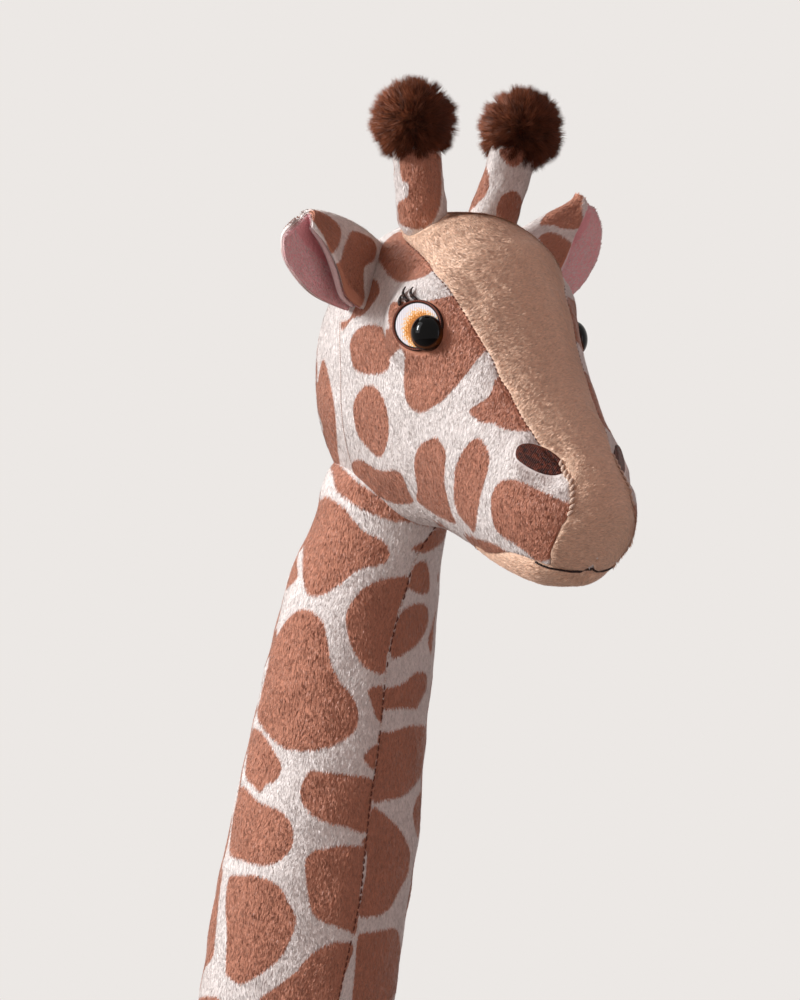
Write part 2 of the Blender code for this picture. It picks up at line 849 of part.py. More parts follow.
def horn_axis(side):
    return towards(HORN_FORWARD, side * HORN_OUT)


def horn_point(side):
    return Vector((side * HORN_SIDE, HORN_Y, HORN_Z))


def make_horn(hand, side, head_pieces):
    """A stuffed horn whose round foot bends in a dimple, with its fur ball."""
    base = horn_point(side)
    axis = horn_axis(side)
    profile = [(HORN_LENGTH * up, HORN_RADIUS * across) for up, across in HORN_SHARES]
    profile += arc(HORN_RADIUS, math.pi / 2, math.pi, 6)
    turned("ossicone_" + hand, profile, base, axis, SPOTTED, SMALL_STEPS)
    dimple_rows = arc(HORN_RADIUS + MOVING_GAP, 0, math.pi, 10)
    dimple = turned("dimple_" + hand, dimple_rows, base, axis, None, SMALL_STEPS)
    for piece in head_pieces:
        combine(piece, "DIFFERENCE", dimple)
    middle = base + axis * (HORN_LENGTH - POMPOM_SINK + POMPOM_RADIUS)
    ball_rows = arc(POMPOM_RADIUS, 0, math.pi, 10)
    pompom = turned("pompom_" + hand, ball_rows, middle, axis, DARK, SMALL_STEPS)
    rows = []
    for up, across in HORN_SHARES:
        radius = HORN_RADIUS * across + (SEWN_GAP if across else 0)
        rows.append((HORN_LENGTH * up, radius))
    rows[0] = (HORN_LENGTH + SEWN_GAP, 0)
    rows.append((0, HORN_RADIUS + SEWN_GAP))
    rows.append((0, 0))
    hole = turned("hole_" + hand, rows, base, axis, None, SMALL_STEPS)
    combine(pompom, "DIFFERENCE", hole)


def ear_point(side, shares):
    forward, outward, upward = (EAR_LENGTH * share for share in shares)
    return Vector((side * (EAR_SIDE + outward), EAR_Y - forward, EAR_Z + upward))


def ear_edge(side, shares, place):
    rows = [(k / (len(shares) - 1), *row) for k, row in enumerate(shares)]
    return ear_point(side, curve_through(rows, place)[1:])


def ear_surface(side, place, across):
    """The folded ear's middle surface, from its front edge round its fold to its rear edge."""
    front = ear_edge(side, EAR_FRONT_SHARES, place)
    fold = ear_edge(side, EAR_FOLD_SHARES, place)
    rear = ear_edge(side, EAR_REAR_SHARES, place)
    lip = ear_edge(side, EAR_FOLD_SHARES, 1) - ear_edge(side, EAR_FOLD_SHARES, 0)
    into = ((front + rear) / 2 - fold).normalized()
    ahead = lip.cross(into).normalized() * side
    if ahead.y > 0:
        ahead = -ahead
    centre = fold + into * EAR_FOLD_RADIUS
    if across < EAR_ARC_START_SHARE:
        part = across / EAR_ARC_START_SHARE
        start = centre + ahead * EAR_FOLD_RADIUS
        deep = EAR_FRONT_BULGE_SHARE * (front - start).length
        bulge = ahead * deep * math.sin(math.pi * part)
        return front.lerp(start, part) + bulge
    if across > EAR_ARC_END_SHARE:
        part = (across - EAR_ARC_END_SHARE) / (1 - EAR_ARC_END_SHARE)
        start = centre - ahead * EAR_FOLD_RADIUS
        deep = EAR_REAR_BULGE_SHARE * (rear - start).length
        bulge = ahead * deep * math.sin(math.pi * part)
        return start.lerp(rear, part) - bulge
    part = (across - EAR_ARC_START_SHARE) / (EAR_ARC_END_SHARE - EAR_ARC_START_SHARE)
    turn = math.pi * part
    return centre + (ahead * math.cos(turn) - into * math.sin(turn)) * EAR_FOLD_RADIUS


def ear_layer(name, side, outside, inside, skin):
    tops, bottoms = [], []
    for i in range(EAR_ROWS + 1):
        place = i / EAR_ROWS
        low = max(place - EAR_STEP_ALONG, 0)
        high = min(place + EAR_STEP_ALONG, 1)
        top_row, bottom_row = [], []
        for j in range(EAR_COLUMNS + 1):
            part = j / EAR_COLUMNS
            left = max(part - EAR_STEP_ACROSS, 0)
            right = min(part + EAR_STEP_ACROSS, 1)
            along = ear_surface(side, high, part) - ear_surface(side, low, part)
            across = ear_surface(side, place, right) - ear_surface(side, place, left)
            normal = along.cross(across).normalized() * side
            point = ear_surface(side, place, part)
            top_row.append(point + normal * outside)
            bottom_row.append(point + normal * inside)
        tops.append(top_row)
        bottoms.append(bottom_row)
    return sheet_solid(name, tops, bottoms, skin)


def ear_root_ends(side):
    """The two ends of the line along which the ear is sewn on."""
    top = ear_point(side, EAR_FOLD_SHARES[0])
    low = (ear_point(side, EAR_FRONT_SHARES[0]) + ear_point(side, EAR_REAR_SHARES[0])) / 2
    out = Vector((side * EAR_ROOT_OUT, 0, EAR_ROOT_OUT / 2))
    return low + out, top + out


def make_ear(hand, side, head, room):
    half = SEWN_GAP / 2
    skin = ear_layer(f"ear_{hand}_outer", side, half + EAR_SKIN, half, SPOTTED)
    lining = ear_layer(f"ear_{hand}_lining", side, -half, -half - EAR_LINING, PINK)
    low, top = ear_root_ends(side)
    root = rod_between("root_" + hand, low, top, EAR_ROOT_RADIUS)
    room_root = rod_between("root_room_" + hand, low, top, EAR_ROOT_RADIUS + SEWN_GAP)
    groove_low, groove_top = carried_on(low, top, MOVING_GAP)
    wide = EAR_ROOT_RADIUS + MOVING_GAP
    groove = rod_between("groove_" + hand, groove_low, groove_top, wide)
    combine(skin, "DIFFERENCE", room)
    combine(skin, "UNION", root)
    combine(lining, "DIFFERENCE", room, room_root)
    combine(head, "DIFFERENCE", groove)


def make_eye(hand, side, head):
    """A safety eye: dome, collar and stem in one, its lock washer, and the sewn patch."""
    normal = eye_normal(side)
    patch_middle = eye_point(side)
    level = Vector((0, 0, 1))
    forward = level.cross(normal).normalized() * -side
    up = normal.cross(forward).normalized() * side
    if up.z < 0:
        up = -up
    if forward.y > 0:
        forward = -forward
    middle = patch_middle + forward * EYE_PATCH_BACK - up * EYE_PATCH_UP
    rows = []
    for height, radius in arc(1, 0, math.pi / 2, 6):
        rows.append((EYE_PATCH_THICKNESS + EYE_DOME * height, EYE_RADIUS * radius))
    rows.append((-EYE_COLLAR, EYE_RADIUS))
    rows.append((-EYE_COLLAR, EYE_STEM_RADIUS))
    rows.append((-EYE_STEM_LENGTH, EYE_STEM_RADIUS))
    rows.append((-EYE_STEM_LENGTH, 0))
    turned("eye_" + hand, rows, middle, normal, BLACK, SMALL_STEPS)
    room_rows = []
    for height, radius in rows:
        lift = SEWN_GAP if height > 0 else -SEWN_GAP
        room_rows.append((height + lift, radius + (SEWN_GAP if radius else 0)))
    room = turned("eye_room_" + hand, room_rows, middle, normal, None, SMALL_STEPS)
    top, hole = -WASHER_DEPTH, EYE_STEM_RADIUS + SEWN_GAP
    washer = [(top, hole), (top, WASHER_RADIUS), (top - WASHER_THICKNESS, WASHER_RADIUS)]
    washer += [(top - WASHER_THICKNESS, hole), (top, hole)]
    turned("eye_washer_" + hand, washer, middle, normal, NYLON, SMALL_STEPS)
    bottom = top - WASHER_THICKNESS - SEWN_GAP
    wide = WASHER_RADIUS + SEWN_GAP
    pocket_rows = [(top + SEWN_GAP, 0), (top + SEWN_GAP, wide), (bottom, wide), (bottom, 0)]
    pocket = turned("washer_pocket_" + hand, pocket_rows, middle, normal, None, SMALL_STEPS)
    patch = disc("eye_patch_" + hand, patch_middle, normal, EYE_PATCH_RADIUS, CREAM)
    low = -SEWN_GAP - EYE_PATCH_THICKNESS / 2
    wide = EYE_PATCH_RADIUS + SEWN_GAP
    seat_rows = [(CUTTER_REACH, 0), (CUTTER_REACH, wide), (low, wide), (low, 0)]
    seat = turned("patch_seat_" + hand, seat_rows, patch_middle, normal, None)
    combine(patch, "DIFFERENCE", room)
    combine(head, "DIFFERENCE", seat, room, pocket)


def disc(name, middle, normal, radius, skin):
    """A sewn-on patch half sunk in the head, with a rounded upper edge."""
    half = EYE_PATCH_THICKNESS / 2
    rows = [(half, 0), (half, radius - half), (half / 2, radius - half / 4)]
    rows += [(0, radius), (-half, radius), (-half, 0)]
    return turned(name, rows, middle, normal, skin)


def make_nostril(hand, side, head_pieces):
    """A thick oval of satin stitch, half sunk in the muzzle."""
    normal = nostril_normal(side)
    middle = nostril_point(side)
    half = NOSTRIL_THICKNESS / 2
    reach = 1 - half / NOSTRIL_HALF_WIDTH
    rows = [(half, 0), (half, reach), (0, 1), (-half, 1), (-half, 0)]
    patch = turned("nostril_" + hand, rows, middle, normal, DARK)
    low = -half - SEWN_GAP
    rows = [(CUTTER_REACH, 0), (CUTTER_REACH, 1), (low, 1), (low, 0)]
    seat = turned("nostril_seat_" + hand, rows, middle, normal, None)
    down_nose = Vector((0, NOSTRIL_LONG_AHEAD, NOSTRIL_LONG_UP))
    long_way = (down_nose - normal * down_nose.dot(normal)).normalized()
    short_way = normal.cross(long_way)
    for piece, growth in ((patch, 0), (seat, SEWN_GAP)):
        axes = Matrix((long_way, short_way, normal)).transposed()
        piece.rotation_euler = axes.to_euler()
        piece.scale = (NOSTRIL_HALF_LENGTH + growth, NOSTRIL_HALF_WIDTH + growth, 1)
    for piece in head_pieces:
        combine(piece, "DIFFERENCE", seat)


SIDES = (("left", 1), ("right", -1))
LEGS = [
    (f"leg_{end}_{hand}", side, y)
    for end, y in (("front", LEG_FRONT_Y), ("rear", LEG_REAR_Y))
    for hand, side in SIDES
]

clear_scene()
PIECES = collection("plush_giraffe")
CUTTERS = collection("cutters")
CUTTERS.hide_render = True
SPOTTED = material("spotted_pile", (0.80, 0.72, 0.68), 0.95)
TAN = material("tan_pile", (0.60, 0.43, 0.31), 0.95)
PINK = material("pink_pile", (0.72, 0.40, 0.42), 0.95)
BROWN = material("brown_pile", (0.36, 0.19, 0.12), 0.95)
DARK = material("dark_fur", (0.12, 0.05, 0.03), 0.95)
CREAM = material("cream_thread", (0.85, 0.80, 0.72), 0.6)
BLACK = material("black_plastic", (0.01, 0.01, 0.01), 0.15)
NYLON = material("white_nylon", (0.8, 0.8, 0.8), 0.5)
STEEL = material("steel_rod", (0.5, 0.5, 0.5), 0.35, 1.0)

HEAD = make_head()
FACE = bpy.data.objects["face_panel"]
ROOM = head_body("ear_room", EAR_ROOM)
make_neck()
make_torso()
make_frame()
for leg_name, leg_side, leg_y in LEGS:
    make_leg(leg_name, leg_side, leg_y)
make_tail()
for hand_name, hand_side in SIDES:
    make_horn(hand_name, hand_side, (HEAD, FACE))
    make_ear(hand_name, hand_side, HEAD, ROOM)
    make_eye(hand_name, hand_side, HEAD)
    make_nostril(hand_name, hand_side, (HEAD, FACE))
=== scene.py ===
"""Looks of the plush giraffe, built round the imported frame. Metres, +Z up, the face looks along -Y."""

import json
import math

import bpy
import numpy as np
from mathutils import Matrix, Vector
from mathutils.bvhtree import BVHTree
from mathutils.kdtree import KDTree

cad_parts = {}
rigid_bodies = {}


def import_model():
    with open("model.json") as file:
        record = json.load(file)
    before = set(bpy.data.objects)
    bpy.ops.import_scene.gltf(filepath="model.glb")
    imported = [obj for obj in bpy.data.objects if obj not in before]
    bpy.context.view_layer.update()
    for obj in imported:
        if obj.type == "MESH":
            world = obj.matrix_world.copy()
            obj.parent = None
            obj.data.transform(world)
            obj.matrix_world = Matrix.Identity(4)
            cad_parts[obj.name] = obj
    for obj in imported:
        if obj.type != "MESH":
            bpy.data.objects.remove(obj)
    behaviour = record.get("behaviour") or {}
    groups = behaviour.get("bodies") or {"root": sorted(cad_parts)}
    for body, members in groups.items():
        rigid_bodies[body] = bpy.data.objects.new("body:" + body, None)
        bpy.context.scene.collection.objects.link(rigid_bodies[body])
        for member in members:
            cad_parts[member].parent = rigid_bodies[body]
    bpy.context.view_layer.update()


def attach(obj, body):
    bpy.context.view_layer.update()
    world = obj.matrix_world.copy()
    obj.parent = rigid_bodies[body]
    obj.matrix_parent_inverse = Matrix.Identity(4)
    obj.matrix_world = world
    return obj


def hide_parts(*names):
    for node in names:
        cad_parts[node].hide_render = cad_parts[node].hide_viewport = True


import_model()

MM = 0.001
FINE = 1.0

# The camera stands level with the head, 1.8 m from it, and sees the giraffe 38 degrees off its right side.
IMAGE_WIDTH, IMAGE_HEIGHT = 800, 1000
CAMERA_TARGET = np.array((0.0, -0.1685, 0.84))
CAMERA_TURN = math.radians(38)
CAMERA_DISTANCE = 1.8
CAMERA_ASIDE = -0.0015
CAMERA_LENS = 126.4
SENSOR = 36.0
BACK = np.array((-math.sin(CAMERA_TURN), -math.cos(CAMERA_TURN), 0.0))
RIGHT = np.array((math.cos(CAMERA_TURN), -math.sin(CAMERA_TURN), 0.0))
CAMERA_PLACE = CAMERA_TARGET + CAMERA_DISTANCE * BACK + CAMERA_ASIDE * RIGHT
FOCAL_PIXELS = CAMERA_LENS / SENSOR * IMAGE_HEIGHT
PIXEL = CAMERA_DISTANCE / FOCAL_PIXELS

# The forms repeat the sizes of the solids.
TORSO_LENGTH, TORSO_HEIGHT, TORSO_WIDTH = 0.3400, 0.1800, 0.1660
TORSO_FRONT_Y, TORSO_Z = -0.1165, 0.4350
NECK_LEAN = math.radians(14.8)
NECK_LENGTH, NECK_TOP_RADIUS = 0.3000, 0.0372
NECK_FOOT = np.array((0.0, TORSO_FRONT_Y + 0.0476, TORSO_Z + 0.1100))
NECK_AXIS = np.array((0.0, -math.sin(NECK_LEAN), math.cos(NECK_LEAN)))
NOD = NECK_FOOT + NECK_LENGTH * NECK_AXIS
SHOULDER_LENGTH = 0.1250
HEAD_LENGTH, HEAD_HEIGHT, HEAD_WIDTH = 0.2230, 0.1750, 0.0920
HEAD_TILT = math.radians(36)
HEAD_AT = NOD + np.array((0.0, 0.0544, 0.0414))
EYE_AT = NOD + np.array((0.0472, -0.0980, 0.0930))
EYE_FORWARD, EYE_RISE = math.radians(25), math.radians(4)
EYE_FLAT, EYE_FALL = 0.0150, 0.0300
NOSTRIL_AT = NOD + np.array((0.0253, -0.1614, 0.0236))
NOSTRIL_NORMAL = np.array((0.54, -0.77, 0.34))
NOSTRIL_FLAT, NOSTRIL_FALL = 0.0090, 0.0200
HORN_AT = NOD + np.array((0.0225, -0.0675, 0.1465))
HORN_OUT, HORN_FORWARD = math.radians(15), math.radians(10)
HORN_RADIUS, HORN_LENGTH = 0.0124, 0.0400
POMPOM_RADIUS, POMPOM_SINK = 0.0190, 0.0090
EAR_LENGTH = 0.0550
EAR_AT = NOD + np.array((0.0385, -0.0410, 0.1160))
EAR_FOLD_RADIUS = 0.0025
LEG_SIDE, LEG_TOP_RADIUS = 0.0500, 0.0370
LEG_FRONT_Y = TORSO_FRONT_Y + 0.0660
LEG_REAR_Y = TORSO_FRONT_Y + TORSO_LENGTH - 0.0470
LEG_TOP_Z = TORSO_Z - 0.0270
LEG_TOP_DROP = 0.0123
HOOF_RADIUS, HOOF_HEIGHT = 0.0330, 0.0480
TAIL_AT = np.array((0.0, TORSO_FRONT_Y + TORSO_LENGTH + 0.0020, TORSO_Z + 0.0450))
TAIL_RADIUS, TAIL_LENGTH, TAIL_LEAN = 0.0075, 0.1300, math.radians(34)
TUFT_RADIUS, TUFT_LENGTH, TUFT_SINK = 0.0160, 0.0700, 0.0160
EYE_PATCH_RADIUS = 0.0136

# Rows: along, top, bottom, half width, widest level, upper and lower roundness.
HEAD_SHARES = [
    (0.0000, 0.5486, 0.5486, 0.0000, 0.50, 2.00, 2.00),
    (0.0067, 0.6400, 0.4114, 0.2174, 0.50, 2.00, 2.00),
    (0.0269, 0.7143, 0.2800, 0.3152, 0.50, 2.00, 2.00),
    (0.0650, 0.7943, 0.1657, 0.3913, 0.52, 2.10, 2.00),
    (0.1233, 0.8714, 0.0743, 0.4511, 0.55, 2.20, 2.00),
    (0.1973, 0.9400, 0.0229, 0.4837, 0.57, 2.30, 2.00),
    (0.2825, 0.9857, 0.0000, 0.5000, 0.60, 2.30, 1.90),
    (0.3812, 0.9950, 0.0171, 0.5000, 0.62, 2.20, 1.85),
    (0.4798, 0.9400, 0.0971, 0.4920, 0.62, 2.00, 1.85),
    (0.5785, 0.8560, 0.1686, 0.4740, 0.60, 1.92, 1.90),
    (0.6794, 0.7860, 0.2114, 0.4440, 0.57, 1.92, 2.00),
    (0.7803, 0.7350, 0.2451, 0.4150, 0.55, 2.00, 2.20),
    (0.8587, 0.7040, 0.2739, 0.3859, 0.53, 2.05, 2.30),
    (0.9215, 0.6720, 0.3081, 0.3370, 0.52, 2.00, 2.30),
    (0.9641, 0.6371, 0.3461, 0.2663, 0.50, 1.95, 2.20),
    (0.9888, 0.5857, 0.3829, 0.1685, 0.50, 2.00, 2.00),
    (1.0000, 0.4686, 0.4686, 0.0000, 0.50, 2.00, 2.00),
]
# Rows: along the head, then the turn from the top to the panel's right and left edges, in degrees.
FACE_EDGE_SHARES = [
    (0.118, 34.0, 32.0),
    (0.170, 42.0, 40.0),
    (0.237, 48.0, 46.0),
    (0.317, 52.0, 47.0),
    (0.374, 53.0, 43.0),
    (0.434, 51.5, 37.0),
    (0.470, 50.6, 33.0),
    (0.517, 48.6, 31.5),
    (0.553, 46.2, 31.5),
    (0.596, 43.6, 32.0),
    (0.628, 44.0, 32.0),
    (0.669, 42.0, 31.0),
    (0.719, 42.0, 29.0),
    (0.759, 41.0, 27.0),
    (0.805, 39.5, 25.0),
    (0.838, 36.5, 23.0),
    (0.862, 33.5, 22.0),
    (0.883, 35.0, 22.5),
    (0.913, 36.5, 26.0),
    (0.939, 44.0, 31.0),
    (0.955, 53.0, 37.0),
    (0.961, 66.0, 50.0),
    (0.9655, 95.0, 82.0),
    (0.9685, 118.8, 118.8),
    (0.9750, 121.7, 121.7),
    (0.9819, 124.2, 124.2),
    (0.9896, 132.8, 132.8),
    (0.9923, 148.0, 148.0),
    (0.9934, 176.0, 176.0),
    (0.9999, 179.0, 179.0),
]
CHIN_EDGE_SHARES = [
    (0.718, 156, 156),
    (0.742, 151, 151),
    (0.801, 142, 142),
    (0.855, 128, 128),
    (0.885, 120.5, 120.5),
    (0.922, 117, 117),
    (0.950, 116.5, 116.5),
    (0.9578, 117.8, 117.8),
    (0.9682, 119.9, 119.9),
    (0.9750, 122.2, 122.2),
    (0.9819, 124.7, 124.7),
    (0.9896, 133.4, 133.4),
    (0.9923, 148.8, 148.8),
    (0.9932, 175.0, 175.0),
]
# Rows: distance down the neck and radius, as shares of its length and of its top radius.
NECK_SHARES = [
    (-0.1240, 0.000),
    (-0.1180, 0.300),
    (-0.0960, 0.630),
    (-0.0600, 0.870),
    (-0.0200, 0.975),
    (0.0260, 0.979),
    (0.0670, 0.992),
    (0.1100, 1.030),
    (0.1650, 1.080),
    (0.2500, 1.130),
    (0.3450, 1.180),
    (0.4400, 1.235),
    (0.5300, 1.285),
    (0.6200, 1.325),
    (0.7150, 1.370),
    (0.8100, 1.388),
    (0.9000, 1.400),
    (1.0000, 1.425),
]

# Rows: forward, outward and upward from the middle of the ear's root, as shares of the ear's length.
EAR_FOLD_SHARES = [
    (0.055, -0.100, 0.300),
    (0.200, 0.230, 0.430),
    (0.250, 0.540, 0.545),
    (0.290, 0.790, 0.620),
    (0.310, 0.860, 0.660),
]
EAR_FRONT_SHARES = [
    (0.105, 0.110, -0.290),
    (0.270, 0.430, -0.180),
    (0.370, 0.600, 0.070),
    (0.385, 0.730, 0.330),
    (0.355, 0.870, 0.540),
]
EAR_REAR_SHARES = [
    (-0.105, 0.130, -0.290),
    (0.230, 0.760, -0.170),
    (0.290, 1.080, 0.110),
    (0.310, 1.140, 0.380),
    (0.325, 1.040, 0.545),
]
# The two soft ears stand differently: each row moves outward and upward by these shares.
EAR_SET_SHARES = {
    -1: [(0.0, 0.0), (0.0, -0.01), (0.0, -0.04), (0.0, -0.09), (0.0, -0.13)],
    1: [(0.0, 0.0), (0.01, 0.03), (0.03, 0.09), (0.05, 0.15), (0.06, 0.20)],
}
# Rows: distance down the axis below the neck's foot, and radius, as shares.
SHOULDER_SHARES = [
    (-0.0001, 0.0),
    (0.0000, 1.425),
    (0.1400, 1.460),
    (0.3200, 1.560),
    (0.5200, 1.730),
    (0.7400, 1.900),
    (1.0000, 1.950),
    (1.0001, 0.0),
]
# Rows: along, level of the middle, half height, half width.
TORSO_SHARES = [
    (0.000, 0.050, 0.000, 0.000),
    (0.012, 0.050, 0.200, 0.190),
    (0.050, 0.050, 0.350, 0.325),
    (0.120, 0.045, 0.465, 0.420),
    (0.230, 0.030, 0.535, 0.480),
    (0.370, 0.000, 0.535, 0.500),
    (0.520, -0.015, 0.490, 0.490),
    (0.670, -0.005, 0.455, 0.480),
    (0.800, 0.008, 0.445, 0.465),
    (0.900, 0.030, 0.395, 0.405),
    (0.960, 0.050, 0.300, 0.300),
    (0.990, 0.070, 0.165, 0.165),
    (1.000, 0.080, 0.000, 0.000),
]
# Rows: height above the floor as a share of the leg, and radius as a share of its top radius.
LEG_SHARES = [
    (0.000, 0.72),
    (0.020, 0.72),
    (0.140, 0.73),
    (0.310, 0.77),
    (0.480, 0.83),
    (0.650, 0.92),
    (0.790, 1.00),
    (0.860, 0.99),
    (0.920, 0.88),
    (0.965, 0.64),
    (0.990, 0.36),
    (1.000, 0.00),
]
# Rows: height as a share of the hoof, and radius as a share of its own.
HOOF_SHARES = [
    (0.000, 0.93),
    (0.080, 0.98),
    (0.220, 1.00),
    (0.500, 0.98),
    (0.800, 0.93),
    (0.960, 0.90),
    (1.000, 0.84),
]
# Rows: height as a share of the horn, and radius as a share of its own.
HORN_SHARES = [
    (0.160, 1.00),
    (0.380, 0.96),
    (0.620, 0.95),
    (0.850, 0.97),
    (0.920, 0.90),
    (0.970, 0.70),
    (0.995, 0.40),
    (1.000, 0.00),
]
# Rows: height as a share of the tuft, and radius as a share of its own.
TUFT_SHARES = [
    (0.00, 0.40),
    (0.05, 0.52),
    (0.20, 0.80),
    (0.40, 1.00),
    (0.60, 0.94),
    (0.80, 0.70),
    (0.93, 0.42),
    (1.00, 0.00),
]

# The printed spots, each a closed outline of corners given in image pixels.
HEAD_SPOTS = [
    [
        (378, 251), (398, 232), (420, 236), (438, 246), (452, 262),
        (434, 270), (425, 276), (401, 281), (389, 273), (381, 261),
    ],
    [
        (373, 277), (379, 283), (379, 293), (365, 312), (353, 317),
        (343, 329), (342, 319), (350, 317), (365, 285),
    ],
    [
        (390, 324), (389, 312), (391, 304), (396, 300), (425, 300), (445, 296), (466, 293), (486, 293),
        (502, 312), (510, 332), (488, 348), (477, 360), (460, 381), (443, 399), (435, 404), (428, 409),
        (421, 411), (414, 409), (409, 404), (405, 394), (404, 380), (404, 365), (404, 351), (401, 347),
        (394, 338),
    ],
    [
        (350, 346), (353, 334), (362, 325), (374, 323), (382, 325), (389, 328), (394, 335), (399, 346),
        (394, 352), (390, 357), (389, 366), (384, 371), (375, 373), (355, 368),
    ],
    [
        (366, 384), (378, 388), (386, 405), (389, 428), (386, 446), (380, 456), (368, 447), (358, 434),
        (354, 418), (354, 400),
    ],
    [
        (324, 358), (318, 380), (316, 400), (320, 430), (326, 455), (333, 465), (341, 472), (337, 446),
        (334, 400),
    ],
    [
        (351, 464), (359, 458), (369, 463), (380, 469), (397, 469), (403, 476), (408, 490), (413, 501),
        (398, 503), (384, 498), (370, 491), (359, 480),
    ],
    [
        (414, 467), (416, 452), (422, 442), (435, 436), (442, 442), (446, 453), (444, 479), (447, 495),
        (451, 511), (455, 522), (440, 516), (423, 505), (416, 498), (417, 486),
    ],
    [
        (454, 484), (456, 464), (463, 449), (474, 438), (480, 437), (487, 445), (490, 456), (488, 470),
        (482, 490), (478, 509), (474, 530), (468, 525), (458, 512), (454, 498),
    ],
    [
        (470, 411), (472, 406), (482, 400), (489, 395), (493, 387), (497, 377),
        (520, 368), (542, 386), (552, 408), (550, 424), (534, 430),
        (520, 430), (502, 427), (495, 422), (482, 421),
    ],
    [
        (491, 501), (493, 491), (498, 482), (507, 478), (516, 478), (530, 484), (547, 492), (568, 501),
        (592, 508), (594, 524), (578, 545), (560, 556), (539, 560),
        (526, 550), (512, 541), (500, 533), (493, 522),
    ],
    [(466, 535), (484, 539), (499, 545), (513, 557), (503, 561), (486, 557), (472, 546)],
]
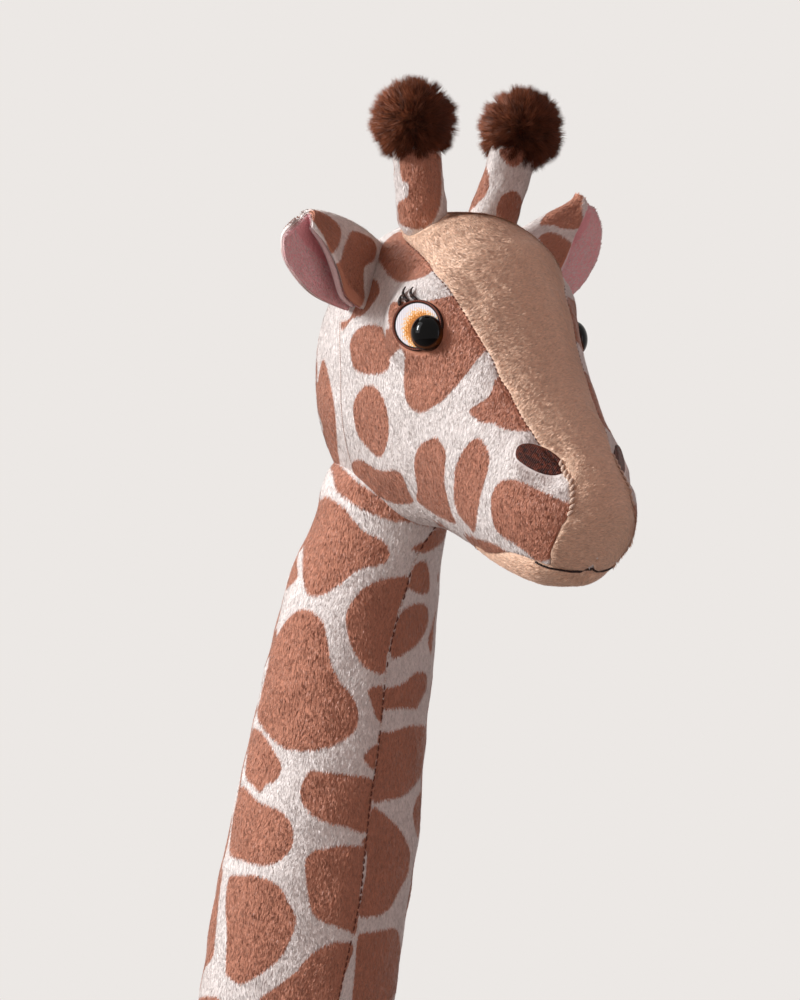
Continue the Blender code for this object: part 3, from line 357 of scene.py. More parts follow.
NECK_SPOTS = [
    [
        (331, 458), (345, 468), (360, 482), (375, 492), (400, 504), (430, 515), (456, 523), (456, 528),
        (440, 526), (426, 524), (408, 521), (391, 519), (373, 513), (358, 506), (346, 497), (337, 489),
        (334, 475),
    ],
    [
        (303, 566), (305, 540), (311, 519), (317, 504), (324, 496), (331, 497), (346, 508), (353, 518),
        (364, 529), (379, 537), (387, 544), (390, 553), (387, 560), (379, 564), (363, 567), (353, 573),
        (339, 584), (328, 591), (317, 595), (308, 592), (304, 580),
    ],
    [(297, 556), (298, 564), (298, 577), (290, 585), (284, 591), (281, 592), (285, 575), (291, 560)],
    [
        (304, 608), (312, 610), (319, 615), (324, 622), (328, 640), (330, 656), (334, 668), (340, 680),
        (348, 689), (355, 699), (358, 709), (358, 719), (355, 729), (347, 737), (337, 743), (325, 747),
        (301, 750), (280, 744), (262, 725), (258, 715), (259, 703), (266, 674), (274, 642), (280, 630),
        (286, 620), (295, 611),
    ],
    [
        (346, 617), (348, 608), (357, 594), (368, 584), (382, 578), (396, 576), (409, 575), (407, 589),
        (402, 599), (398, 612), (394, 628), (390, 644), (387, 656), (386, 668), (383, 673), (378, 672),
        (368, 668), (359, 658), (351, 644), (347, 628),
    ],
    [
        (419, 602), (425, 603), (428, 608), (429, 617), (426, 628), (421, 638), (412, 647), (402, 654),
        (392, 657), (391, 644), (395, 630), (399, 616), (404, 608), (411, 604),
    ],
    [(412, 547), (425, 539), (435, 528), (449, 526), (454, 527), (446, 537), (435, 547), (423, 552)],
    [(452, 538), (449, 551), (446, 561), (442, 567), (440, 584), (437, 577), (440, 564), (444, 546)],
    [
        (419, 561), (426, 560), (429, 569), (430, 581), (429, 590), (424, 593), (416, 591), (408, 586),
        (410, 581), (412, 569),
    ],
    [
        (385, 688), (396, 685), (406, 680), (413, 673), (420, 671), (426, 672), (427, 682), (425, 691),
        (420, 701), (416, 708), (408, 707), (398, 707), (384, 708), (384, 697),
    ],
    [
        (370, 687), (376, 685), (383, 684), (383, 697), (383, 711), (381, 722), (377, 717), (373, 707),
        (370, 697), (368, 691),
    ],
    [
        (379, 732), (390, 731), (404, 726), (417, 724), (425, 725), (427, 731), (427, 743), (424, 761),
        (420, 775), (415, 783), (407, 792), (397, 797), (386, 799), (373, 800), (375, 774), (377, 756),
    ],
    [(377, 743), (377, 756), (375, 766), (372, 767), (366, 762), (363, 757), (365, 752), (370, 747)],
    [
        (254, 727), (259, 729), (265, 734), (276, 752), (281, 761), (282, 768), (279, 776), (274, 781),
        (267, 783), (262, 790), (258, 790), (247, 777), (246, 771), (247, 759), (250, 741),
    ],
    [
        (313, 769), (326, 771), (338, 772), (351, 774), (374, 778), (373, 791), (371, 806), (366, 831),
        (344, 825), (331, 823), (319, 818), (310, 811), (303, 803), (300, 794), (302, 782), (306, 774),
    ],
    [
        (244, 785), (256, 798), (267, 804), (279, 809), (288, 817), (293, 827), (294, 836), (292, 847),
        (287, 854), (279, 860), (267, 864), (254, 863), (242, 859), (232, 855), (230, 847), (233, 820),
        (238, 793),
    ],
    [
        (230, 875), (238, 874), (252, 874), (265, 877), (276, 882), (283, 890), (293, 909), (296, 918),
        (294, 929), (290, 940), (285, 950), (277, 960), (258, 975), (242, 983), (236, 982), (230, 977),
        (226, 970), (227, 934), (226, 899),
    ],
    [
        (345, 844), (360, 845), (366, 847), (363, 863), (362, 877), (360, 891), (356, 931), (347, 929),
        (335, 925), (324, 921), (315, 915), (310, 906), (308, 891), (305, 866), (307, 856), (315, 849),
        (329, 846),
    ],
    [
        (372, 807), (379, 809), (388, 816), (399, 827), (406, 838), (410, 849), (410, 859), (408, 872),
        (402, 884), (392, 904), (385, 911), (376, 915), (359, 915), (360, 902), (366, 870), (366, 848),
        (361, 840), (367, 834),
    ],
    [
        (361, 932), (369, 931), (381, 929), (394, 927), (398, 930), (400, 941), (401, 954), (399, 970),
        (392, 1000), (380, 1032), (357, 1030), (352, 1005), (355, 970), (357, 938),
    ],
    [
        (335, 941), (345, 941), (353, 943), (352, 954), (345, 974), (339, 1000), (328, 1035), (290, 1045),
        (262, 1025), (259, 1000), (276, 986), (297, 970), (304, 961), (313, 952), (322, 946),
    ],
    [(223, 868), (220, 891), (217, 922), (215, 945), (213, 956), (206, 965), (200, 962), (208, 915)],
    [(195, 1000), (201, 996), (210, 995), (220, 998), (226, 1012), (222, 1050), (196, 1055)],
    [(424, 789), (422, 799), (421, 836), (417, 835), (413, 815), (415, 802), (419, 793)],
    [(422, 876), (418, 905), (408, 934), (407, 916), (408, 899), (411, 886), (415, 878)],
    [(438, 600), (436, 610), (434, 623), (431, 652), (428, 641), (429, 634), (435, 612)],
]
NEAR_EAR_SPOTS = [
    [
        (309, 216), (311, 210), (325, 214), (338, 224), (342, 234),
        (338, 249), (330, 253), (325, 239), (316, 225),
    ],
    [
        (353, 232), (370, 238), (377, 248), (374, 261), (365, 268), (364, 285), (364, 302), (350, 314),
        (342, 297), (336, 283), (333, 266), (341, 261), (345, 247),
    ],
]
FAR_EAR_SPOTS = [
    [
        (539, 225), (549, 210), (561, 201), (574, 190), (582, 192), (581, 210), (581, 227), (566, 230),
        (551, 226),
    ],
    [(538, 239), (549, 233), (564, 239), (574, 249), (572, 266), (567, 278), (559, 268), (549, 254)],
]
NEAR_HORN_SPOTS = [
    [
        (403, 150), (436, 150), (441, 175), (440, 200), (436, 216), (425, 226), (412, 227), (399, 220),
        (398, 202), (407, 195), (408, 182), (401, 176),
    ],
]
FAR_HORN_SPOTS = [
    [
        (486, 164), (490, 176), (488, 191), (479, 201), (471, 210),
        (464, 212), (470, 198), (477, 181), (482, 169),
    ],
    [(496, 215), (498, 203), (505, 192), (516, 190), (522, 198), (522, 210), (516, 225), (505, 224)],
    [(500, 148), (526, 148), (524, 159), (516, 165), (507, 162)],
]
# The neck's front seam, from the chin down, in image pixels.
NECK_SEAM = [
    (436, 525), (422, 546), (412, 566), (403, 600), (395, 626), (390, 649), (385.6, 673), (382, 712),
    (379, 741), (377, 760), (370, 800), (360, 900), (349, 950), (338, 1000), (331, 1030),
]

OUTLINE_STEPS = 5
FAR_AWAY = -12.0
SPOT_EDGE_MM = 12.0
UP = np.array((0.0, 0.0, 1.0))


def smooth_step(low, high, value):
    part = np.clip((value - low) / (high - low), 0, 1)
    return part * part * (3 - 2 * part)


def unit(vectors):
    return vectors / np.maximum(np.linalg.norm(vectors, axis=-1, keepdims=True), 1e-9)


def across_surface(vectors, normals):
    """The vectors laid flat on a surface with these normals."""
    return unit(vectors - normals * (vectors * normals).sum(-1, keepdims=True))


def waves(points, size, seed, count=8):
    """Smooth wandering values about 0, of one size in metres."""
    rng = np.random.default_rng(seed)
    ways = unit(rng.normal(size=(count, 3))) * rng.uniform(0.7, 1.4, (count, 1)) * (2 * math.pi / size)
    phases = rng.uniform(0, 2 * math.pi, count)
    return np.sin(points @ ways.T + phases).sum(-1) / math.sqrt(count)


def clumps_of(places, count, rng):
    """Some picked places, and which of them each place is nearest to."""
    picked = rng.choice(len(places), count, replace=False)
    tree = KDTree(count)
    for number, k in enumerate(picked):
        tree.insert(places[k], number)
    tree.balance()
    nearest = np.fromiter((tree.find(place)[1] for place in places), int, len(places))
    return picked, nearest


def along_rows(rows, places):
    """A smooth row of values at each place along the rows, which start with their place."""
    rows = np.array(rows, float)
    places = np.asarray(places, float)
    last = len(rows) - 1
    k = np.clip(np.searchsorted(rows[:, 0], places, side="right") - 1, 0, last - 1)
    before, start = rows[np.maximum(k - 1, 0)], rows[k]
    end, after = rows[k + 1], rows[np.minimum(k + 2, last)]
    span = end[..., :1] - start[..., :1]
    part = (places[..., None] - start[..., :1]) / span
    slope_start = (end - before) / (end[..., :1] - before[..., :1]) * span
    slope_end = (after - start) / (after[..., :1] - start[..., :1]) * span
    slope_start = np.where((start - before) * (end - start) <= 0, 0, slope_start)
    slope_end = np.where((end - start) * (after - end) <= 0, 0, slope_end)
    bend = 3 * (end - start) - 2 * slope_start - slope_end
    twist = 2 * (start - end) + slope_start + slope_end
    return start + slope_start * part + bend * part**2 + twist * part**3


def in_photo(points):
    """Where points fall in the image, in pixels from its top left."""
    offset = points - CAMERA_PLACE
    depth = -(offset @ BACK)
    across = IMAGE_WIDTH / 2 + FOCAL_PIXELS * (offset @ RIGHT) / depth
    down = IMAGE_HEIGHT / 2 - FOCAL_PIXELS * offset[..., 2] / depth
    return np.stack((across, down), -1)


def sight_line(pixel):
    """The direction from the camera through a pixel."""
    across = (pixel[0] - IMAGE_WIDTH / 2) / FOCAL_PIXELS
    up = (IMAGE_HEIGHT / 2 - pixel[1]) / FOCAL_PIXELS
    return unit(-BACK + across * RIGHT + up * UP)


def rounded_outline(corners):
    """A closed smooth curve through given corners."""
    corners = np.array(corners, float)
    a, b, c, d = (np.roll(corners, shift, 0) for shift in (1, 0, -1, -2))
    curve = []
    for step in range(OUTLINE_STEPS):
        t = step / OUTLINE_STEPS
        bend = 2 * a - 5 * b + 4 * c - d + t * (3 * (b - c) + d - a)
        curve.append(b + 0.5 * t * (c - a + t * bend))
    return np.stack(curve, 1).reshape(-1, 2)


def depth_inside(places, outline):
    """How far each place is inside a closed outline, negative outside, both in pixels."""
    reach = -FAR_AWAY * MM / PIXEL
    found = np.full(len(places), -reach)
    within = (places > outline.min(0) - reach) & (places < outline.max(0) + reach)
    near = np.flatnonzero(within.all(1))
    if not len(near):
        return found
    start, end = outline, np.roll(outline, -1, 0)
    way = end - start
    place = places[near][:, None]
    part = np.clip(((place - start) * way).sum(-1) / (way**2).sum(-1), 0, 1)
    gap = np.linalg.norm(place - start - part[..., None] * way, axis=-1).min(1)
    crosses = (start[:, 1] > place[..., 1]) != (end[:, 1] > place[..., 1])
    rise = np.where(way[:, 1] == 0, 1, way[:, 1])
    edge = start[:, 0] + (place[..., 1] - start[:, 1]) / rise * way[:, 0]
    inside = (crosses & (place[..., 0] < edge)).sum(1) % 2 == 1
    found[near] = np.where(inside, gap, -gap)
    return found


def scattered(points, spacing, seed):
    """Points picked from many so that no two are nearer than the spacing."""
    rng = np.random.default_rng(seed)
    picked = []
    for k in rng.permutation(len(points))[:5000]:
        if not picked or np.linalg.norm(points[k] - np.array(picked), axis=1).min() > spacing:
            picked.append(points[k])
    return np.array(picked)


def cell_spots(points, spacing, gap, seed):
    """Giraffe spots as rounded cells about scattered points: depth inside a spot, in millimetres."""
    middles = scattered(points, spacing, seed)
    sway = np.stack([waves(points, spacing * 1.3, seed + k) for k in (1, 2, 3)], -1)
    places = points + sway * spacing * 0.10
    found = []
    for part in np.array_split(places, len(places) // 8000 + 1):
        away = np.linalg.norm(part[:, None] - middles, axis=-1)
        nearest = away.argmin(1)
        border = (away - away.min(1, keepdims=True)) / 2 / MM
        border[np.arange(len(part)), nearest] = 99
        rounding = 3.0
        found.append(-rounding * np.log(np.exp(-border / rounding).sum(1)))
    return np.concatenate(found) - gap / 2 / MM


def printed(points, normals, outlines, spacing, seed, mirrored=False):
    """Depth inside a brown spot in mm: the photo's spots where the camera looks, others elsewhere."""
    seen, looks = points.copy(), normals.copy()
    if mirrored:
        flip = points[:, 0] > 0
        seen[flip, 0] *= -1
        looks[flip, 0] *= -1
    places = in_photo(seen)
    depth = np.full(len(points), FAR_AWAY)
    for outline in outlines:
        depth = np.maximum(depth, depth_inside(places, rounded_outline(outline)) * PIXEL / MM)
    behind = cell_spots(points, spacing, spacing * 0.22, seed)
    shown = smooth_step(0.02, 0.22, looks @ BACK) * smooth_step(1045, 1005, places[:, 1])
    depth = np.clip(depth, FAR_AWAY, SPOT_EDGE_MM)
    behind = np.clip(behind, FAR_AWAY, SPOT_EDGE_MM)
    return shown * depth + (1 - shown) * behind


def flattened(points, middle, normal, flat, fall):
    """The points drawn to the plane that a sewn-on patch pulls flat."""
    offset = points - middle
    height = offset @ normal
    across = np.linalg.norm(offset - height[..., None] * normal, axis=-1)
    pull = 1 - np.maximum(across - flat, 0) / (fall - flat)
    pull = pull * pull * (3 - 2 * pull)
    pull = np.where((across >= fall) | (np.abs(height) > fall), 0, pull)
    return points - normal * (height * pull)[..., None]


def eye_normal(hand):
    level = math.cos(EYE_RISE)
    sideways = hand * math.cos(EYE_FORWARD) * level
    return np.array((sideways, -math.sin(EYE_FORWARD) * level, math.sin(EYE_RISE)))


def on_side(point, hand):
    return point * np.array((hand, 1.0, 1.0))


def head_points(share, turn):
    """The head's surface at shares of its length and turns from the top, in radians."""
    share, turn = np.broadcast_arrays(share, turn)
    row = along_rows(HEAD_SHARES, share)
    top, bottom, half, widest, upper, lower = (row[..., k] for k in range(1, 7))
    over, aside = np.cos(turn), np.sin(turn)
    middle = bottom + widest * (top - bottom)
    reach = np.where(over >= 0, top - middle, middle - bottom)
    power = 2 / np.where(over >= 0, upper, lower)
    level = middle + reach * np.sign(over) * np.abs(over) ** power
    side = half * np.sign(aside) * np.abs(aside) ** power
    forward, rise = HEAD_LENGTH * share, HEAD_HEIGHT * level
    y = HEAD_AT[1] - forward * math.cos(HEAD_TILT) - rise * math.sin(HEAD_TILT)
    z = HEAD_AT[2] - forward * math.sin(HEAD_TILT) + rise * math.cos(HEAD_TILT)
    points = np.stack((HEAD_WIDTH * side, y, z), -1)
    for hand in (-1, 1):
        own = points[..., :1] * hand > 0
        drawn = flattened(points, on_side(EYE_AT, hand), eye_normal(hand), EYE_FLAT, EYE_FALL)
        nose = unit(on_side(NOSTRIL_NORMAL, hand))
        drawn = flattened(drawn, on_side(NOSTRIL_AT, hand), nose, NOSTRIL_FLAT, NOSTRIL_FALL)
        points = np.where(own, drawn, points)
    return points


def grid_faces(rows, columns, wrapped=True):
    """Triangles over a grid of points, closed round each row when wrapped."""
    i = np.arange(rows - 1)[:, None]
    j = np.arange(columns if wrapped else columns - 1)[None]
    following = (j + 1) % columns
    a, b = i * columns + j, i * columns + following
    c, d = b + columns, a + columns
    halves = (np.stack((a, b, c), -1).reshape(-1, 3), np.stack((a, c, d), -1).reshape(-1, 3))
    return np.concatenate(halves)


def closed_form(rings, first, last):
    """Points and outward triangles of rings of points closed by a tip at each end."""
    rows, columns = rings.shape[:2]
    points = np.concatenate((rings.reshape(-1, 3), [first, last]))
    own = np.arange(columns)
    following = (own + 1) % columns
    start = np.stack((own, np.full(columns, rows * columns), following), -1)
    far = (rows - 1) * columns
    end = np.stack((far + own, far + following, np.full(columns, rows * columns + 1)), -1)
    faces = np.concatenate((grid_faces(rows, columns), start, end))
    return outward((points, faces))


def outward(form):
    points, faces = form
    volume = np.linalg.det(points[faces] - points.mean(0)).sum()
    return points, faces if volume > 0 else faces[:, ::-1]


def normals_of(form):
    points, faces = form
    a, b, c = (points[faces[:, k]] for k in range(3))
    normal = np.cross(b - a, c - a)
    total = np.zeros_like(points)
    for k in range(3):
        for axis in range(3):
            total[:, axis] += np.bincount(faces[:, k], normal[:, axis], len(points))
    return unit(total)


def raised(form, lift):
    """The form with each point moved along its normal, by one lift or one for each point."""
    return form[0] + normals_of(form) * np.reshape(lift, (-1, 1)), form[1]


def across_axis(axis):
    """Two directions across an axis, the first as near +X as can be."""
    aside = unit(np.array((1.0, 0.0, 0.0)) - axis * axis[0])
    return aside, np.cross(axis, aside)


def turned_form(profile, place, axis, columns=160):
    """A closed form turned about an axis. Rows of height and radius run from tip to tip."""
    profile = np.array(profile, float)
    aside, other = across_axis(axis)
    turns = np.arange(columns) * 2 * math.pi / columns
    ways = np.cos(turns)[:, None] * aside + np.sin(turns)[:, None] * other
    rings = place + axis * profile[1:-1, 0, None, None] + ways * profile[1:-1, 1, None, None]
    return closed_form(rings, place + axis * profile[0, 0], place + axis * profile[-1, 0])


def spread(first, last, count, crowding=0.0):
    """Even places, or places that crowd towards both ends."""
    even = np.linspace(0, 1, count)
    even = even - crowding * np.sin(2 * math.pi * even) / (2 * math.pi)
    return first + (last - first) * even


def profile_from(rows, count, height, radius, start=0.0):
    """A smooth profile through share rows, with its sizes given, from start."""
    places = spread(rows[0][0], rows[-1][0], count, 0.6)
    values = along_rows(rows, places)
    return [(start + height * place, radius * value[1]) for place, value in zip(places, values)]


def piece(name, form, skin, **values):
    """A shown object from a form, with a value for each point under each name."""
    points, faces = form
    mesh = bpy.data.meshes.new(name)
    mesh.vertices.add(len(points))
    mesh.vertices.foreach_set("co", np.asarray(points, np.float32).ravel())
    mesh.loops.add(faces.size)
    mesh.loops.foreach_set("vertex_index", faces.astype(np.int32).ravel())
    mesh.polygons.add(len(faces))
    mesh.polygons.foreach_set("loop_start", np.arange(0, faces.size, 3, dtype=np.int32))
    mesh.update(calc_edges=True)
    for key, value in values.items():
        attribute = mesh.attributes.new(key, "FLOAT", "POINT")
        attribute.data.foreach_set("value", np.asarray(value, np.float32))
    mesh.shade_smooth()
    mesh.materials.append(skin)
    made = bpy.data.objects.new(name, mesh)
    bpy.context.scene.collection.objects.link(made)
    return made


def towards(about_x, about_y):
    """The up direction turned about X, then about Y."""
    tilted = np.array((0.0, -math.sin(about_x), math.cos(about_x)))
    lean, level = math.sin(about_y), math.cos(about_y)
    return np.array((tilted[2] * lean, tilted[1], tilted[2] * level))


def linear(shade):
    """A hex colour as Blender's linear one."""
    found = []
    for k in (0, 2, 4):
        value = int(shade[k : k + 2], 16) / 255
        found.append(value / 12.92 if value <= 0.04045 else ((value + 0.055) / 1.055) ** 2.4)
    return (*found, 1.0)


def node(tree, kind, links=None, **settings):
    """A shader node with its settings, and its sockets linked or set by name or number."""
    made = tree.nodes.new(kind)
    for key, value in settings.items():
        setattr(made, key, value)
    for key, value in (links or {}).items():
        if isinstance(value, bpy.types.NodeSocket):
            tree.links.new(value, made.inputs[key])
        else:
            made.inputs[key].default_value = value
    return made


def new_material(name):
    made = bpy.data.materials.new(name)
    made.use_nodes = True
    made.node_tree.nodes.clear()
    return made, made.node_tree


def finish_material(tree, shader):
    node(tree, "ShaderNodeOutputMaterial", {"Surface": shader.outputs["BSDF"]})


def tube(path, up, radii, flat=1.0, sides=8):
    """A closed thread along a path, with its upward direction and radius at each point."""
    along = unit(np.gradient(path, axis=0))
    side = unit(np.cross(along, up))
    top = np.cross(side, along) * flat
    turns = np.arange(sides)[:, None] * 2 * math.pi / sides
    ways = np.cos(turns) * side[:, None] + np.sin(turns) * top[:, None]
    rings = path[:, None] + ways * np.reshape(radii, (-1, 1, 1))
    return closed_form(rings, path[0] - along[0] * radii[0], path[-1] + along[-1] * radii[-1])




def printed_backing(name, ground, spot, edge_mm=0.5):
    """Knitted polyester backing, printed before the pile is cut, seen between the hairs."""
    made, tree = new_material(name)
    depth = node(tree, "ShaderNodeAttribute", attribute_name="spot").outputs["Fac"]
    place = node(tree, "ShaderNodeTexCoord").outputs["Object"]
    grain = node(tree, "ShaderNodeTexNoise", {"Vector": place, "Scale": 900.0, "Detail": 3.0})
    frayed = node(
        tree,
        "ShaderNodeMath",
        {0: grain.outputs["Fac"], 1: 1.2, 2: depth},
        operation="MULTIPLY_ADD",
    )
    share = node(tree, "ShaderNodeMapRange", {0: frayed.outputs[0], 1: 0.6 - edge_mm, 2: 0.6 + edge_mm})
    tone = node(tree, "ShaderNodeTexNoise", {"Vector": place, "Scale": 60.0, "Detail": 4.0})
    colour = node(
        tree,
        "ShaderNodeMix",
        {0: share.outputs[0], 6: linear(ground), 7: linear(spot)},
        data_type="RGBA",
    )
    shaded = node(
        tree,
        "ShaderNodeHueSaturation",
        {
            "Color": colour.outputs[2],
            "Value": node(
                tree, "ShaderNodeMapRange", {0: tone.outputs["Fac"], 3: 0.88, 4: 1.08}
            ).outputs[0],
        },
    )
    bump = node(
        tree,
        "ShaderNodeBump",
        {"Height": grain.outputs["Fac"], "Distance": 0.0004, "Strength": 0.6},
    )
    shader = node(
        tree,
        "ShaderNodeBsdfPrincipled",
        {
            "Base Color": shaded.outputs[0],
            "Roughness": 0.9,
            "IOR": 1.5,
            "Specular IOR Level": 0.2,
            "Sheen Weight": 0.15,
            "Sheen Roughness": 0.5,
            "Normal": bump.outputs[0],
        },
    )
    finish_material(tree, shader)
    return made


def plain_backing(name, shade):
    """Dyed backing of one colour under its pile."""
    made, tree = new_material(name)
    place = node(tree, "ShaderNodeTexCoord").outputs["Object"]
    grain = node(tree, "ShaderNodeTexNoise", {"Vector": place, "Scale": 900.0, "Detail": 3.0})
    tone = node(tree, "ShaderNodeTexNoise", {"Vector": place, "Scale": 70.0, "Detail": 4.0})
    value = node(tree, "ShaderNodeMapRange", {0: tone.outputs["Fac"], 3: 0.86, 4: 1.10})
    shaded = node(
        tree, "ShaderNodeHueSaturation", {"Color": linear(shade), "Value": value.outputs[0]}
    )
    bump = node(
        tree,
        "ShaderNodeBump",
        {"Height": grain.outputs["Fac"], "Distance": 0.0004, "Strength": 0.6},
    )
    shader = node(
        tree,
        "ShaderNodeBsdfPrincipled",
        {
            "Base Color": shaded.outputs[0],
            "Roughness": 0.9,
            "IOR": 1.5,
            "Specular IOR Level": 0.2,
            "Sheen Weight": 0.15,
            "Sheen Roughness": 0.5,
            "Normal": bump.outputs[0],
        },
    )
    finish_material(tree, shader)
    return made


WHITE, BROWN, TAN = "f4eeea", "c3866d", "f7d4b8"
PINK, PALE_PINK, FUR = "ffbcc3", "ffe6e7", "7e452b"
SPOTTED_SKIN = printed_backing("printed_polyester_backing", WHITE, BROWN)
TAN_SKIN = plain_backing("tan_polyester_backing", TAN)
BROWN_SKIN = plain_backing("brown_polyester_backing", BROWN)
PALE_PINK_SKIN = plain_backing("pale_pink_edge_backing", PALE_PINK)
PINK_SKIN = plain_backing("pink_polyester_backing", PINK)
FUR_SKIN = plain_backing("dark_fur_backing", FUR)


def edge_turns(edge_rows, places, left):
    """The turn to a panel's edge at places along the head, on the head's left where left holds."""
    values = np.radians(along_rows(edge_rows, places))
    return np.where(left, values[..., 2], values[..., 1])


def head_form():
    """The head's outside, before make_head sinks it below the two tan panels and draws it in at their seams.
    """
    shares = spread(0.002, 0.998, int(60 + 190 * FINE), 0.75)
    columns = int(80 + 200 * FINE)
    turns = np.arange(columns) * 2 * math.pi / columns
    rings = head_points(shares[:, None], turns[None])
    ends = head_points(np.array((0.0, 1.0)), np.array((0.0, 0.0)))
    form = closed_form(rings, ends[0], ends[1])
    share_at = np.concatenate((np.repeat(shares, columns), (0, 1)))
    turn_at = np.concatenate((np.tile(turns, len(shares)), (0, 0)))
    return form, share_at, turn_at


def panel_form(edge_rows, mirrored):
    """A tan panel as an open sheet over the head, and its points in rows and columns, from which each point's
    way in from its nearest edge is found.
    """
    rows, columns = int(40 + 130 * FINE), int(30 + 90 * FINE)
    shares = spread(edge_rows[0][0], edge_rows[-1][0], rows, 0.3)
    part = spread(-1, 1, columns, 0.5)[None]
    edge = edge_turns(edge_rows, shares[:, None], part > 0)
    turns = math.pi + (math.pi - edge) * part if mirrored else edge * part
    points = head_points(shares[:, None], turns)
    faces = grid_faces(rows, columns, wrapped=False)
    return (points.reshape(-1, 3), faces), points


def from_edges(grid):
    """Each point's distance from the nearest side or end of its open sheet."""
    steps = np.linalg.norm(np.diff(grid, axis=1), axis=-1)
    along = np.concatenate((np.zeros((len(grid), 1)), np.cumsum(steps, 1)), 1)
    across = np.minimum(along, along[:, -1:] - along)
    steps = np.linalg.norm(np.diff(grid, axis=0), axis=-1)
    down = np.concatenate((np.zeros((1, grid.shape[1])), np.cumsum(steps, 0)), 0)
    ends = np.minimum(down, down[-1:] - down)
    return np.minimum(across, ends).ravel()


def faces_outside(form, normals):
    """The sheet's faces turned so that they look the way of the given normals."""
    points, faces = form
    a, b, c = (points[faces[:, k]] for k in range(3))
    agree = (np.cross(b - a, c - a) * normals[faces[:, 0]]).sum()
    return points, faces if agree > 0 else faces[:, ::-1]


SEAM_DEPTH, SEAM_WIDTH = 0.9 * MM, 1.5 * MM
MOUTH_FROM = 0.968


def make_head():
    form, share_at, turn_at = head_form()
    left = turn_at < math.pi
    turn_at = np.minimum(turn_at, 2 * math.pi - turn_at)
    inside = []
    for rows, mirrored in ((FACE_EDGE_SHARES, False), (CHIN_EDGE_SHARES, True)):
        within = (share_at >= rows[0][0]) & (share_at <= rows[-1][0])
        edge = edge_turns(rows, np.clip(share_at, rows[0][0], rows[-1][0]), left)
        radius = HEAD_WIDTH / 2
        past = (turn_at - edge if mirrored else edge - turn_at) * radius
        past = np.where(within, past, -radius)
        ends = (share_at - rows[0][0]) * HEAD_LENGTH
        if rows[-1][0] < 1:
            ends = np.minimum(ends, (rows[-1][0] - share_at) * HEAD_LENGTH)
        inside.append(np.minimum(past, ends))
    past = np.maximum(*inside)
    valley = -SEAM_DEPTH * np.exp(-((past / SEAM_WIDTH) ** 2))
    sunk = -2.2 * MM * smooth_step(0, 2 * MM, past)
    points = form[0]
    soft = 0.35 * MM * waves(points, 0.030, 11) + 0.12 * MM * waves(points, 0.009, 12)
    form = raised(form, np.minimum(valley, sunk) + soft)
    normals = normals_of(form)
    spots = printed(form[0], normals, HEAD_SPOTS, 0.036, 3, mirrored=True)
    head = piece("head_skin", form, SPOTTED_SKIN, spot=spots)
    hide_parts("head")
    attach(head, "head")
    past = np.where(share_at > MOUTH_FROM, HEAD_WIDTH, past)
    return form, normals, spots, past


def make_panel(name, node_name, edge_rows, mirrored):
    form, grid = panel_form(edge_rows, mirrored)
    centre = form[0].mean(0) if mirrored else HEAD_AT + np.array((0.0, -0.10, -0.02))
    form = faces_outside(form, form[0] - centre)
    way_in = from_edges(grid)
    lift = 0.9 * MM * (1 - np.exp(-way_in / (1.6 * MM))) - 0.7 * MM
    soft = 0.35 * MM * waves(form[0], 0.030, 11) + 0.12 * MM * waves(form[0], 0.009, 12)
    form = raised(form, lift + soft)
    panel = piece(name, form, TAN_SKIN)
    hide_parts(node_name)
    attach(panel, "head")
    return form, normals_of(form)


NECK_SHIFT, NECK_SHIFT_DOWN, NECK_PINCH = 7.0 * MM, 0.046, 0.13


def neck_shift(points):
    """The neck's top is narrower and sits forward of its axis, under the jaw."""
    below = (NOD - points) @ NECK_AXIS
    share = 1 - smooth_step(0.0, NECK_SHIFT_DOWN, below)
    return np.stack((-NECK_PINCH * share * points[:, 0], -NECK_SHIFT * share, 0 * share), -1)


def make_neck():
    rows = profile_from(NECK_SHARES, int(90 + 200 * FINE), -NECK_LENGTH, NECK_TOP_RADIUS)
    rows = rows + [(-NECK_LENGTH, 0.0)]
    form = turned_form(rows, NOD, NECK_AXIS, int(90 + 170 * FINE))
    form = (form[0] + neck_shift(form[0]), form[1])
    points = form[0]
    soft = 0.7 * MM * waves(points, 0.060, 21) + 0.30 * MM * waves(points, 0.022, 22)
    below = (NOD - points) @ NECK_AXIS
    form = raised(form, soft * smooth_step(0.02, 0.05, below))
    normals = normals_of(form)
    spots = printed(form[0], normals, NECK_SPOTS, 0.046, 5)
    neck = piece("neck_skin", form, SPOTTED_SKIN, spot=spots)
    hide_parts("neck")
    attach(neck, "neck")
    return form, normals, spots


def remeshed(forms, voxel, smoothing):
    """Several closed forms made one smooth skin."""
    total = 0
    points, faces = [], []
    for form in forms:
        points.append(form[0])
        faces.append(form[1] + total)
        total += len(form[0])
    rough = piece("rough_form", (np.concatenate(points), np.concatenate(faces)), SPOTTED_SKIN)
    step = rough.modifiers.new("one_skin", "REMESH")
    step.mode = "VOXEL"
    step.voxel_size = voxel
    ease = rough.modifiers.new("ease", "SMOOTH")
    ease.factor = 0.5
    ease.iterations = smoothing
    graph = bpy.context.evaluated_depsgraph_get()
    mesh = rough.evaluated_get(graph).to_mesh()
    mesh.calc_loop_triangles()
    found = np.empty(len(mesh.vertices) * 3, np.float32)
    mesh.vertices.foreach_get("co", found)
    corners = np.empty(len(mesh.loop_triangles) * 3, np.int32)
    mesh.loop_triangles.foreach_get("vertices", corners)
    bpy.data.objects.remove(rough)
    return outward((found.reshape(-1, 3).astype(float), corners.reshape(-1, 3)))


